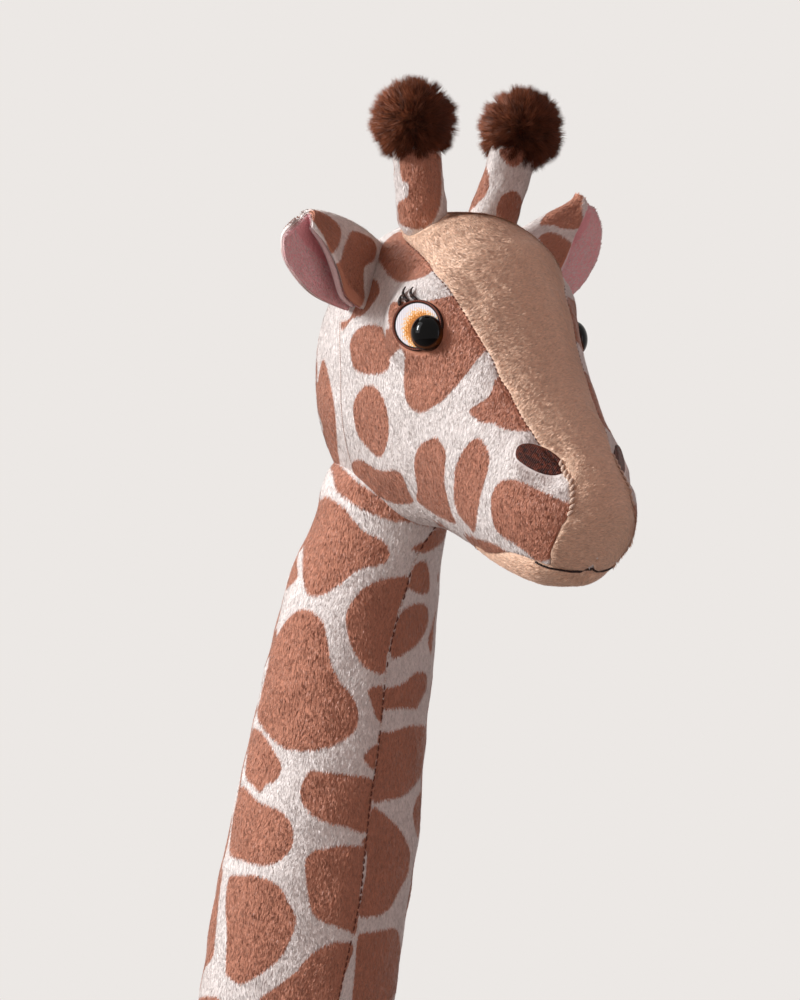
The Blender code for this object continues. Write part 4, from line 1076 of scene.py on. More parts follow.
def torso_form():
    shares = spread(0.003, 0.997, 90, 0.7)
    row = along_rows(TORSO_SHARES, shares)
    level, tall, wide = (row[:, k, None] for k in (1, 2, 3))
    turns = np.arange(120)[None] * 2 * math.pi / 120
    x = TORSO_WIDTH * wide * np.sin(turns)
    y = TORSO_FRONT_Y + TORSO_LENGTH * shares[:, None] + 0 * turns
    z = TORSO_Z + TORSO_HEIGHT * (level + tall * np.cos(turns))
    first = (0, TORSO_FRONT_Y, TORSO_Z + TORSO_HEIGHT * TORSO_SHARES[0][1])
    last = (0, TORSO_FRONT_Y + TORSO_LENGTH, TORSO_Z + TORSO_HEIGHT * TORSO_SHARES[-1][1])
    return closed_form(np.stack((x, y, z), -1), first, last)


def make_torso():
    rows = [(-SHOULDER_LENGTH * down, NECK_TOP_RADIUS * across) for down, across in SHOULDER_SHARES]
    dense = [rows[0]]
    for place in np.linspace(0, 1, 60):
        value = along_rows(SHOULDER_SHARES[1:-1], place)
        dense.append((-SHOULDER_LENGTH * place, NECK_TOP_RADIUS * value[1]))
    dense.append(rows[-1])
    shoulder = turned_form(dense, NECK_FOOT, NECK_AXIS, 120)
    form = remeshed((torso_form(), shoulder), 0.0042 - 0.0014 * FINE, 6)
    points = form[0]
    soft = 1.0 * MM * waves(points, 0.080, 31) + 0.35 * MM * waves(points, 0.025, 32)
    middle_seam = -1.2 * MM * np.exp(-((points[:, 0] / (2.2 * MM)) ** 2))
    above = (points - NECK_FOOT) @ NECK_AXIS
    form = raised(form, (soft + middle_seam) * smooth_step(0.004, -0.01, above))
    normals = normals_of(form)
    behind = cell_spots(form[0], 0.056, 0.012, 7)
    spots = np.clip(behind, FAR_AWAY, SPOT_EDGE_MM)
    torso = piece("torso_skin", form, SPOTTED_SKIN, spot=spots)
    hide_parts("torso")
    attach(torso, "trunk")
    return form, normals, spots


def make_leg(name, side, y):
    top = LEG_TOP_Z - LEG_TOP_DROP
    rows = profile_from(LEG_SHARES, int(50 + 90 * FINE), top, LEG_TOP_RADIUS, LEG_TOP_DROP)
    rows = [(rows[0][0], 0.0)] + rows
    place = np.array((side * LEG_SIDE, y, 0.0))
    form = turned_form(rows, place, UP, int(50 + 70 * FINE))
    soft = 0.5 * MM * waves(form[0], 0.05, 41) + 0.25 * MM * waves(form[0], 0.02, 42)
    form = raised(form, soft * smooth_step(0.0, 0.03, LEG_TOP_Z - form[0][:, 2]))
    normals = normals_of(form)
    spots = np.clip(cell_spots(form[0], 0.044, 0.010, int(50 + 3 * side + 40 * y)), FAR_AWAY, SPOT_EDGE_MM)
    leg = piece(name + "_skin", form, SPOTTED_SKIN, spot=spots)
    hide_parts(name)
    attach(leg, "trunk")
    hoof_name = name.replace("leg", "hoof")
    rows = profile_from(HOOF_SHARES, 60, HOOF_HEIGHT, HOOF_RADIUS)
    inner = LEG_TOP_RADIUS * 0.72 - 0.0006
    rows = [(0.0, 0.0), (0.0, HOOF_RADIUS * 0.88)] + rows[1:]
    rows += [(HOOF_HEIGHT - 0.0006, inner), (HOOF_HEIGHT - 0.004, 0.0)]
    hoof_form = turned_form(rows, place, UP, 96)
    hoof = piece(hoof_name + "_skin", hoof_form, BROWN_SKIN)
    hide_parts(hoof_name)
    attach(hoof, "trunk")
    return form, normals, spots, hoof_form


def arc_rows(radius, start, end, count, middle=0.0):
    angles = np.linspace(start, end, count + 1)
    return [(middle + radius * math.cos(a), radius * math.sin(a)) for a in angles]


def make_tail():
    axis = towards(math.pi + TAIL_LEAN, 0)
    rows = [(TAIL_LENGTH, 0.0)]
    for share, wide in ((1.0, 0.70), (0.97, 0.85), (0.75, 0.87), (0.5, 0.90), (0.25, 0.95)):
        rows.append((TAIL_LENGTH * share, TAIL_RADIUS * wide))
    rows += arc_rows(TAIL_RADIUS, math.pi / 2, math.pi, 10)
    rows[-1] = (rows[-1][0], 0.0)
    form = turned_form(rows, TAIL_AT, axis, 48)
    spots = np.clip(cell_spots(form[0], 0.022, 0.006, 61), FAR_AWAY, SPOT_EDGE_MM)
    tail = piece("tail_skin", form, SPOTTED_SKIN, spot=spots)
    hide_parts("tail")
    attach(tail, "tail")
    top = TAIL_AT + axis * (TAIL_LENGTH - TUFT_SINK)
    rows = profile_from(TUFT_SHARES, 60, TUFT_LENGTH, TUFT_RADIUS * 0.72)
    rows = [(0.0, 0.0)] + rows
    rows[-1] = (rows[-1][0], 0.0)
    tuft_form = turned_form(rows, top, axis, 48)
    tuft = piece("tail_tuft_core", tuft_form, FUR_SKIN)
    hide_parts("tail_tuft")
    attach(tuft, "tail")
    return form, spots, tuft_form, axis


def make_horn(hand, side):
    axis = towards(HORN_FORWARD, side * HORN_OUT)
    place = on_side(HORN_AT, side)
    rows = profile_from(HORN_SHARES, 50, HORN_LENGTH, HORN_RADIUS)
    rows = arc_rows(HORN_RADIUS, math.pi, math.pi / 2, 10) + rows
    rows[0] = (rows[0][0], 0.0)
    form = turned_form(rows, place, axis, 72)
    soft = 0.25 * MM * waves(form[0], 0.012, 71)
    form = raised(form, soft)
    normals = normals_of(form)
    outlines = NEAR_HORN_SPOTS if side < 0 else FAR_HORN_SPOTS
    spots = printed(form[0], normals, outlines, 0.016, 73)
    horn = piece(f"ossicone_{hand}_skin", form, SPOTTED_SKIN, spot=spots)
    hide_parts(f"ossicone_{hand}")
    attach(horn, f"horn_{hand}")
    middle = place + axis * (HORN_LENGTH - POMPOM_SINK + POMPOM_RADIUS)
    ball_rows = arc_rows(POMPOM_RADIUS * 0.72, math.pi, 0, 30)
    ball_rows[0] = (ball_rows[0][0], 0.0)
    ball_rows[-1] = (ball_rows[-1][0], 0.0)
    ball = turned_form(ball_rows, middle, axis, 60)
    pompom = piece(f"pompom_{hand}_core", ball, FUR_SKIN)
    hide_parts(f"pompom_{hand}")
    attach(pompom, f"horn_{hand}")
    return form, normals, spots, middle, axis


EAR_ARC_START, EAR_ARC_END = 0.36, 0.56
EAR_PALE_SHARE, EAR_RIM_SHARE = 0.14, 0.20
EAR_EDGE_RADIUS = 1.6 * MM
EAR_FRONT_BULGE, EAR_REAR_BULGE = 0.05, 0.04


def ear_edge(side, shares, places):
    moves = EAR_SET_SHARES[side]
    rows = [
        (k / (len(shares) - 1), ahead, out + moves[k][0], up + moves[k][1])
        for k, (ahead, out, up) in enumerate(shares)
    ]
    forward, outward_way, upward = (along_rows(rows, places)[..., k] * EAR_LENGTH for k in (1, 2, 3))
    return np.stack((side * (EAR_AT[0] + outward_way), EAR_AT[1] - forward, EAR_AT[2] + upward), -1)


def ear_points(side, places, across):
    """The folded ear's middle surface, from its front edge round its fold to its rear edge."""
    places, across = np.broadcast_arrays(places, across)
    front, fold, rear = (
        ear_edge(side, shares, places) for shares in (EAR_FRONT_SHARES, EAR_FOLD_SHARES, EAR_REAR_SHARES)
    )
    ends = ear_edge(side, EAR_FOLD_SHARES, np.array((0.0, 1.0)))
    lip = ends[1] - ends[0]
    into = unit((front + rear) / 2 - fold)
    ahead = unit(np.cross(np.broadcast_to(lip, into.shape), into) * side)
    ahead = np.where(ahead[..., 1:2] > 0, -ahead, ahead)
    centre = fold + into * EAR_FOLD_RADIUS
    part = (across / EAR_ARC_START)[..., None]
    start = centre + ahead * EAR_FOLD_RADIUS
    deep = EAR_FRONT_BULGE * np.linalg.norm(front - start, axis=-1, keepdims=True)
    flap = front + (start - front) * part + ahead * deep * np.sin(math.pi * part)
    part = ((across - EAR_ARC_END) / (1 - EAR_ARC_END))[..., None]
    start = centre - ahead * EAR_FOLD_RADIUS
    deep = EAR_REAR_BULGE * np.linalg.norm(rear - start, axis=-1, keepdims=True)
    back = start + (rear - start) * part - ahead * deep * np.sin(math.pi * part)
    turn = (math.pi * (across - EAR_ARC_START) / (EAR_ARC_END - EAR_ARC_START))[..., None]
    bend = centre + (ahead * np.cos(turn) - into * np.sin(turn)) * EAR_FOLD_RADIUS
    across = across[..., None]
    return np.where(across < EAR_ARC_START, flap, np.where(across > EAR_ARC_END, back, bend))


def sheet_form(grid, normals, outside, inside):
    """A closed form between two lifted copies of a grid, rounded at its edges."""
    rows, columns = grid.shape[:2]
    i = np.minimum(np.arange(rows), np.arange(rows)[::-1])[:, None]
    j = np.minimum(np.arange(columns), np.arange(columns)[::-1])[None]
    away = np.minimum(i, j) / 4.0
    round_edge = np.sqrt(np.clip(1 - (1 - np.clip(away, 0, 1)) ** 2, 0.02, 1))[..., None]
    middle = (outside + inside) / 2
    half = (outside - inside) / 2
    top = grid + normals * (middle + half * round_edge)
    bottom = grid + normals * (middle - half * round_edge)
    faces = grid_faces(rows, columns, wrapped=False)
    count = rows * columns
    index = np.arange(count).reshape(rows, columns)
    border = np.concatenate((index[0, :-1], index[:-1, -1], index[-1, :0:-1], index[:0:-1, 0]))
    following = np.roll(border, -1)
    sides = np.concatenate(
        (
            np.stack((border, border + count, following + count), -1),
            np.stack((border, following + count, following), -1),
        )
    )
    points = np.concatenate((top.reshape(-1, 3), bottom.reshape(-1, 3)))
    faces = np.concatenate((faces[:, ::-1], faces + count, sides))
    return outward((points, faces))


def make_ear(hand, side):
    rows, columns = int(30 + 50 * FINE), int(40 + 90 * FINE)
    places = np.linspace(0, 1, rows)[:, None]
    across = np.linspace(0, 1, columns)[None]
    grid = ear_points(side, places, across)
    along = np.gradient(grid, axis=0)
    over = np.gradient(grid, axis=1)
    normals = unit(np.cross(along, over) * side)
    outer = sheet_form(grid, normals, 2.2 * MM, 0.15 * MM)
    outlines = NEAR_EAR_SPOTS if side < 0 else FAR_EAR_SPOTS
    outer_normals = normals_of(outer)
    spots = printed(outer[0], outer_normals, outlines, 0.020, 83)
    skin = piece(f"ear_{hand}_skin", outer, SPOTTED_SKIN, spot=spots)
    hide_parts(f"ear_{hand}_outer")
    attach(skin, f"ear_{hand}")
    inner = sheet_form(grid, normals, -0.15 * MM, -1.5 * MM)
    lining = piece(f"ear_{hand}_pink_lining", inner, PINK_SKIN)
    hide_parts(f"ear_{hand}_lining")
    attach(lining, f"ear_{hand}")
    strip = EAR_PALE_SHARE - np.tile(across.ravel(), rows)
    rim = np.minimum(*np.broadcast_arrays(1 - across, (1 - places) * 1.2)).ravel()
    pale = 20 * np.maximum(strip, EAR_RIM_SHARE - rim)
    first = rows // 8
    edge = grid[first:, 0] - normals[first:, 0] * 1.2 * MM - unit(over[first:, 0]) * 0.5 * MM
    taper = np.sin(math.pi * np.linspace(0.06, 0.94, rows - first)) ** 0.35
    roll = tube(edge, normals[first:, 0], EAR_EDGE_RADIUS * taper)
    rolled = piece(f"ear_{hand}_rolled_edge", roll, PALE_PINK_SKIN)
    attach(rolled, f"ear_{hand}")
    inset = np.minimum(rim * 6, np.tile(across.ravel(), rows) * 8)
    clear = np.concatenate((inset, inset)) > 0.34
    return outer, outer_normals, spots, inner, np.concatenate((pale, pale)), clear, roll


HEAD_FORM, HEAD_NORMALS, HEAD_SPOT_DEPTH, HEAD_PAST = make_head()
FACE_FORM, FACE_NORMALS = make_panel("face_panel_skin", "face_panel", FACE_EDGE_SHARES, False)
CHIN_FORM, CHIN_NORMALS = make_panel("chin_panel_skin", "chin_panel", CHIN_EDGE_SHARES, True)
NECK_FORM, NECK_NORMALS, NECK_SPOT_DEPTH = make_neck()
TORSO_FORM, TORSO_NORMALS, TORSO_SPOT_DEPTH = make_torso()
LEGS = {}
for end, leg_y in (("front", LEG_FRONT_Y), ("rear", LEG_REAR_Y)):
    for hand, side in (("left", 1), ("right", -1)):
        LEGS[f"leg_{end}_{hand}"] = make_leg(f"leg_{end}_{hand}", side, leg_y)
TAIL = make_tail()
HORNS = {hand: make_horn(hand, side) for hand, side in (("left", 1), ("right", -1))}
EARS = {hand: make_ear(hand, side) for hand, side in (("left", 1), ("right", -1))}


def pile_material(name, ground, spot=None, contrast=0.28, painted_root_shade=0.78, gloss=0.35, sheen=0.15):
    """Cut polyester pile. OFBake holds colour and shade across, and the way up a hair upwards. Each hair is
    painted darker towards its root: painted shade among the hairs.
    """
    made, tree = new_material(name)
    place = node(tree, "ShaderNodeUVMap", uv_map="OFBake")
    ways = node(tree, "ShaderNodeSeparateXYZ", {0: place.outputs[0]})
    if spot:
        brown = node(tree, "ShaderNodeMath", {0: ways.outputs[0], 1: 0.5}, operation="GREATER_THAN")
        doubled = node(tree, "ShaderNodeMath", {0: ways.outputs[0], 1: 2.0}, operation="MULTIPLY")
        shade = node(tree, "ShaderNodeMath", {0: doubled.outputs[0]}, operation="FRACT").outputs[0]
        share = brown.outputs[0]
    else:
        shade = ways.outputs[0]
        share = 0.0
    colour = node(
        tree,
        "ShaderNodeMix",
        {0: share, 6: linear(ground), 7: linear(spot or ground)},
        data_type="RGBA",
    )
    tone = node(tree, "ShaderNodeMapRange", {0: shade, 3: 1 - contrast, 4: 1 + contrast})
    # Painted shade: each hair darkens from its tip down to its root, where the hairs shade each other.
    height = node(tree, "ShaderNodeMapRange", {0: ways.outputs[1], 3: painted_root_shade, 4: 1.04})
    value = node(tree, "ShaderNodeMath", {0: tone.outputs[0], 1: height.outputs[0]}, operation="MULTIPLY")
    shaded = node(
        tree,
        "ShaderNodeHueSaturation",
        {"Color": colour.outputs[2], "Value": value.outputs[0]},
    )
    shader = node(
        tree,
        "ShaderNodeBsdfPrincipled",
        {
            "Base Color": shaded.outputs[0],
            "Roughness": 0.42,
            "IOR": 1.5,
            "Specular IOR Level": gloss,
            "Sheen Weight": sheen,
            "Sheen Roughness": 0.4,
            "Sheen Tint": linear("ffd9cc"),
        },
    )
    finish_material(tree, shader)
    return made


SPOTTED_PILE = pile_material("printed_minky_pile", WHITE, BROWN)
TAN_PILE = pile_material("tan_minky_pile", TAN)
BROWN_PILE = pile_material("brown_minky_pile", BROWN)
PINK_PILE = pile_material("pink_minky_pile", PINK, PALE_PINK, contrast=0.08)
PALE_PINK_PILE = pile_material("pale_pink_edge_pile", PALE_PINK, contrast=0.08)
# The long fur is painted far darker at its roots: painted shade deep inside the clumps.
FUR_PILE = pile_material("dark_long_fur", FUR, contrast=0.55, painted_root_shade=0.30, gloss=0.15, sheen=0.0)

NEAR_DENSITY = 2.6
MOST_STRANDS = 190000
CLUMP_LEAN = 0.65
UV_HALF_STEP = 0.0015


def strand_piece(name, roots, tips, corners, shading, across_map, skin):
    """Thin strands, each from its root corners to its tip. Shading holds the root's and the tip's normal."""
    sides, count = corners.shape[:2]
    points = np.concatenate(((roots + corners).reshape(-1, 3), tips))
    own = np.arange(count)
    pairs = ((1, 0),) if sides == 2 else ((0, 1), (1, 2), (2, 0))
    faces = [np.stack((own + a * count, own + b * count, own + sides * count), -1) for a, b in pairs]
    faces = np.concatenate(faces)
    made = piece(name, (points, faces), skin)
    up_map = np.concatenate((np.zeros(sides * count), np.ones(count)))
    shift = np.linspace(-UV_HALF_STEP, UV_HALF_STEP, sides)[:, None]
    side_map = np.concatenate(((across_map + shift).ravel(), across_map))
    both = np.stack((side_map, up_map), -1)[faces.ravel()]
    layer = made.data.uv_layers.new(name="OFBake")
    layer.uv.foreach_set("vector", both.astype(np.float32).ravel())
    rows = np.concatenate((np.tile(shading[0], (sides, 1)), shading[1]))
    made.data.normals_split_custom_set_from_vertices(unit(rows))
    return made


def roots_on(form, normals, count, wanted, rng):
    """Strand roots spread by area, denser where the photo looks, with their normals and values' places."""
    points, faces = form
    corners = points[faces]
    area = np.linalg.norm(np.cross(corners[:, 1] - corners[:, 0], corners[:, 2] - corners[:, 0]), axis=1)
    dense = 1 + NEAR_DENSITY * smooth_step(-0.15, 0.25, normals[faces].mean(1) @ BACK)
    weight = area * dense
    if wanted is not None:
        weight = weight * np.clip(wanted, 0, 1)[faces].min(1)
    chosen = rng.choice(len(faces), int(count * FINE), p=weight / weight.sum())
    mix = rng.dirichlet((1, 1, 1), len(chosen))[..., None]
    root = (corners[chosen] * mix).sum(1)
    normal = unit((normals[faces[chosen]] * mix).sum(1))
    coarse = np.sqrt((1 + NEAR_DENSITY) / dense[chosen]) / math.sqrt(FINE)
    return root, normal, coarse, (faces[chosen], mix[..., 0])


def value_at(values, where):
    return (values[where[0]] * where[1]).sum(1)


def pile(
    name, form, normals, skin, body, count, length, width, flow, main_flow,
    spots=None, wanted=None, seed=1, lie=7.0, wander=0.22, per_clump=4, depth=1.0,
):
    """Short pile combed along a flow and drawn into small clumps, a thin triangle for a few hairs."""
    rng = np.random.default_rng(seed)
    root, normal, coarse, where = roots_on(form, normals, count, wanted, rng)
    total = len(root)
    drawn_out = root - (root @ main_flow)[:, None] * main_flow * 0.6
    picked, mine = clumps_of(drawn_out, max(total // per_clump, 1), rng)
    sway = rng.normal(size=(4, len(picked)))[:, mine]
    way = across_surface(flow(root), normal)
    swing = wander * (waves(root, 0.028, seed + 2) + 0.7 * sway[0] + rng.normal(0, 0.45, total))
    over = np.cross(normal, way)
    way = way * np.cos(swing)[:, None] + over * np.sin(swing)[:, None]
    over = np.cross(normal, way)
    rise = np.radians(lie) + 0.03 * sway[1] + rng.normal(0, 0.03, total)
    rise = np.maximum(rise, 0.04)[:, None]
    reach = (length * np.minimum(coarse, 1.3 / math.sqrt(FINE)) * rng.uniform(0.7, 1.15, total))[:, None]
    tip = root + (way * np.cos(rise) + normal * np.sin(rise)) * reach
    clump_tip = tip[picked][mine]
    near = np.linalg.norm(clump_tip - tip, axis=1) < 1.5 * length * coarse
    tip = tip + (clump_tip - tip) * (0.35 * near)[:, None]
    brown = np.ones(total)
    if spots is not None:
        brown = (value_at(spots, where) + rng.normal(0, 0.10, total) > 0).astype(float)
    lean = depth * (0.4 + 0.6 * brown) * (CLUMP_LEAN * sway[2] + rng.normal(0, 0.26, total))
    shading = normal + over * lean[:, None] + way * (0.30 * sway[1])[:, None]
    shade = np.clip(0.5 + 0.16 * sway[3] + rng.normal(0, 0.14, total), 0.02, 0.98)
    if spots is not None:
        shade = (brown + shade) / 2
    aside = over * (width * coarse / 2)[:, None]
    corners = np.stack((-aside, aside))
    tip[:, 2] = np.maximum(tip[:, 2], 0.2 * MM)
    roots = root - normal * 0.05 * MM
    parts = total // MOST_STRANDS + 1
    for number, part in enumerate(np.array_split(np.arange(total), parts)):
        own_name = name if parts == 1 else f"{name}_{number + 1}"
        lit = (shading[part], shading[part] + way[part] * 0.15)
        made = strand_piece(own_name, roots[part], tip[part], corners[:, part], lit, shade[part], skin)
        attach(made, body)


DOWN_NECK = -NECK_AXIS
DOWN_CHEEK = unit(-UP - 0.30 * RIGHT)
DOWN_NOSE = np.array((0.0, -math.cos(HEAD_TILT), -math.sin(HEAD_TILT)))


def one_flow(way):
    return lambda root: np.broadcast_to(way, root.shape)


def cheek_flow(root):
    """Down the cheek, mirrored on the far side."""
    way = np.broadcast_to(DOWN_CHEEK, root.shape).copy()
    far = root[:, 0] > 0
    way[far, 0] *= -1
    return way


def muzzle_flow(root):
    """Down the nose, then across the muzzle's front."""
    ahead = HEAD_AT[1] - root[:, 1]
    share = smooth_step(0.150, 0.178, ahead)[:, None]
    falling = smooth_step(-0.005, 0.025, root[:, 0])[:, None]
    across = np.array((0.85, 0.0, 0.25)) * (1 - falling) + np.array((0.1, 0.0, -1.0)) * falling
    return DOWN_NOSE * (1 - share) + across * share


def torso_flow(root):
    """Back along the torso and down its sides."""
    return np.broadcast_to(np.array((0.0, 0.55, -0.85)), root.shape)


def outside_neck(points):
    """How far points are from the ball and tube that the neck fills."""
    points = points - neck_shift(points)
    down = (NOD - points) @ NECK_AXIS
    off = np.linalg.norm(points - NOD + down[:, None] * NECK_AXIS, axis=1)
    tube = off - NECK_TOP_RADIUS * 1.02
    ball = np.linalg.norm(points - NOD, axis=1) - NECK_TOP_RADIUS
    return np.where(down > 0, tube, ball)


def away_from(points, place, normal, radius, depth=0.02):
    """Whether points are clear of a round patch sewn on at a place."""
    offset = points - place
    height = offset @ normal
    across = np.linalg.norm(offset - height[:, None] * normal, axis=1)
    return (across > radius) | (np.abs(height) > depth)


def clear_of_fittings(points):
    """Whether points are clear of the eyes, the nostrils and the ossicones."""
    clear = np.full(len(points), True)
    outline = rounded_outline(NOSTRIL_OUTLINE)
    for hand in (-1, 1):
        own = points[:, 0] * hand > 0
        patch = on_side(EYE_AT, hand) + EYE_DROP
        clear &= away_from(points, patch, eye_normal(hand), EYE_PATCH_RADIUS - 0.4 * MM)
        seen = on_side(points, -hand)
        nose = np.linalg.norm(points - on_side(NOSTRIL_AT, hand), axis=1) < 0.02
        clear &= ~(own & nose) | (depth_inside(in_photo(seen), outline) < -0.6)
        clear &= np.linalg.norm(points - on_side(HORN_AT, hand), axis=1) > HORN_RADIUS
    return clear


EYE_DROP = np.array((0.0, 0.0, -0.0032))
NOSTRIL_OUTLINE = [
    (515.5, 453), (517.5, 446.5), (524, 443.5), (533, 444), (543, 447), (553, 453), (560, 459), (564.5, 467),
    (564, 471.5), (558, 475), (549, 475), (540, 473), (531, 469), (522, 463), (517, 458.5),
]


def make_piles():
    wanted = (HEAD_PAST < 1.2 * MM) & (outside_neck(HEAD_FORM[0]) > -1.5 * MM)
    wanted &= clear_of_fittings(HEAD_FORM[0])
    pile(
        "head_pile", HEAD_FORM, HEAD_NORMALS, SPOTTED_PILE, "head", 330000, 1.9 * MM, 0.28 * MM,
        cheek_flow, DOWN_CHEEK, HEAD_SPOT_DEPTH, wanted.astype(float), 101,
    )
    pile(
        "face_panel_pile", FACE_FORM, FACE_NORMALS, TAN_PILE, "head", 170000, 2.2 * MM, 0.29 * MM,
        muzzle_flow, DOWN_NOSE, None, clear_of_fittings(FACE_FORM[0]).astype(float), 111, wander=0.13,
        depth=0.5,
    )
    pile(
        "chin_panel_pile", CHIN_FORM, CHIN_NORMALS, TAN_PILE, "head", 36000, 2.0 * MM, 0.30 * MM,
        one_flow(-DOWN_NOSE), DOWN_NOSE, None, None, 121, wander=0.13, depth=0.5,
    )
    down = (NOD - NECK_FORM[0]) @ NECK_AXIS
    pile(
        "neck_pile", NECK_FORM, NECK_NORMALS, SPOTTED_PILE, "neck", 360000, 2.1 * MM, 0.31 * MM,
        one_flow(DOWN_NECK), DOWN_NECK, NECK_SPOT_DEPTH, (down > -0.03).astype(float), 131,
    )
    pile(
        "torso_pile", TORSO_FORM, TORSO_NORMALS, SPOTTED_PILE, "trunk", 180000, 3.2 * MM, 0.60 * MM,
        torso_flow, np.array((0.0, 0.55, -0.83)), TORSO_SPOT_DEPTH, None, 141,
    )
    for number, (name, (form, normals, spots, hoof)) in enumerate(LEGS.items()):
        pile(
            name + "_pile", form, normals, SPOTTED_PILE, "trunk", 70000, 3.2 * MM, 0.60 * MM,
            one_flow(-UP), UP, spots, (form[0][:, 2] > HOOF_HEIGHT - 0.002).astype(float), 151 + 7 * number,
        )
        hoof_normals = normals_of(hoof)
        pile(
            name.replace("leg", "hoof") + "_pile", hoof, hoof_normals, BROWN_PILE, "trunk", 16000,
            2.8 * MM, 0.60 * MM, one_flow(-UP), UP, None, (hoof[0][:, 2] > 0.003).astype(float), 191 + number,
        )
    form, spots, _, axis = TAIL
    pile(
        "tail_pile", form, normals_of(form), SPOTTED_PILE, "tail", 12000, 2.4 * MM, 0.45 * MM,
        one_flow(axis), axis, spots, None, 201,
    )
    for number, hand in enumerate(("left", "right")):
        form, normals, spots, _, axis = HORNS[hand]
        pile(
            f"ossicone_{hand}_pile", form, normals, SPOTTED_PILE, f"horn_{hand}", 34000, 1.8 * MM, 0.30 * MM,
            one_flow(-axis), axis, spots, None, 211 + number, wander=0.2,
        )
        outer, normals, spots, inner, pale, clear, roll = EARS[hand]
        side = 1 if hand == "left" else -1
        along = unit(np.array((side * 0.8, -0.1, 0.6)))
        pile(
            f"ear_{hand}_pile", outer, normals, SPOTTED_PILE, f"ear_{hand}", 50000, 1.7 * MM, 0.30 * MM,
            one_flow(along), along, spots, clear.astype(float), 221 + number, depth=0.7,
        )
        pile(
            f"ear_{hand}_lining_pile", inner, normals_of(inner), PINK_PILE, f"ear_{hand}", 40000,
            1.4 * MM, 0.30 * MM, one_flow(along), along, pale, None, 231 + number, wander=0.1, depth=0.5,
        )
        pile(
            f"ear_{hand}_edge_pile", roll, normals_of(roll), PALE_PINK_PILE, f"ear_{hand}", 9000,
            0.9 * MM, 0.30 * MM, one_flow(along), along, None, None, 241 + number, depth=0.5,
        )


def spike_corners(way, width, rng):
    """Three root corners about each strand's direction."""
    first = unit(np.cross(way, rng.normal(size=way.shape)))
    second = np.cross(way, first)
    corners = []
    for k in range(3):
        turn = 2 * math.pi * k / 3
        corners.append((first * math.cos(turn) + second * math.sin(turn)) * width)
    return np.stack(corners)


def fur_ball(name, body, middle, radius, core, clumps, per_clump, seed):
    """Long fur in clumps that draw together towards their tips, cut off roughly round."""
    rng = np.random.default_rng(seed)
    clump_way = unit(rng.normal(size=(clumps, 3)))
    reach = rng.uniform(0.84, 1.10, clumps)
    count = int(clumps * per_clump * FINE)
    mine = rng.integers(0, clumps, count)
    way = unit(clump_way[mine] + rng.normal(0, 0.08, (count, 3)))
    root = middle + way * core * 0.85
    fan = unit(rng.normal(size=(clumps, 3)))[mine] * 0.13
    drawn = unit(clump_way[mine] + 0.45 * (way - clump_way[mine]) + fan + rng.normal(0, 0.035, (count, 3)))
    end = middle + drawn * (radius * reach[mine] * rng.uniform(0.84, 1.05, count))[:, None]
    along = unit(end - root)
    corners = spike_corners(along, 0.26 * MM / math.sqrt(FINE), rng)
    side = unit(np.cross(along, rng.normal(size=(count, 3))))
    bright = rng.normal(0, 1, clumps)[mine]
    shading = unit(way + side * rng.normal(0, 0.45, (count, 1)))
    tone = np.clip(0.45 + 0.16 * bright + rng.normal(0, 0.17, count), 0.02, 0.98)
    made = strand_piece(name, root, end, corners, (shading, shading), tone, FUR_PILE)
    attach(made, body)


POMPOM_CLUMPS, POMPOM_CLUMP_HAIRS = 700, 85
TUFT_HAIRS = 40000
TUFT_SHORTEST, TUFT_LONGEST = 0.010, 0.019


def make_fur():
    for number, hand in enumerate(("left", "right")):
        middle = HORNS[hand][3] - HORNS[hand][4] * 1.8 * MM
        fur_ball(
            f"pompom_{hand}_fur", f"horn_{hand}", middle, POMPOM_RADIUS * 1.14, POMPOM_RADIUS * 0.72,
            POMPOM_CLUMPS, POMPOM_CLUMP_HAIRS, 301 + number,
        )
    _, _, tuft, axis = TAIL
    rng = np.random.default_rng(311)
    root, normal, _, _ = roots_on(tuft, normals_of(tuft), TUFT_HAIRS, None, rng)
    way = axis + normal * 0.45 + 0.25 * axis * waves(root, 0.008, 313)[:, None]
    way = unit(way + rng.normal(0, 0.10, root.shape))
    end = root + way * rng.uniform(TUFT_SHORTEST, TUFT_LONGEST, len(root))[:, None]
    corners = spike_corners(way, 0.30 * MM / math.sqrt(FINE), rng)
    side = unit(np.cross(way, rng.normal(size=root.shape)))
    shading = unit(normal + side * rng.normal(0, 0.4, (len(root), 1)))
    tone = np.clip(0.45 + 0.2 * waves(root, 0.006, 312) + rng.normal(0, 0.15, len(root)), 0.02, 0.98)
    made = strand_piece("tail_tuft_fur", root, end, corners, (shading, shading), tone, FUR_PILE)
    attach(made, "tail")


make_piles()
make_fur()


def coated(tree, colour, roughness, ior, level, normal=None, **more):
    """The shader that ends a material, with what all of them set."""
    sockets = {
        "Base Color": colour,
        "Roughness": roughness,
        "IOR": ior,
        "Specular IOR Level": level,
    }
    if normal:
        sockets["Normal"] = normal.outputs[0]
    for key, value in more.items():
        sockets[key.replace("_", " ")] = value
    finish_material(tree, node(tree, "ShaderNodeBsdfPrincipled", sockets))


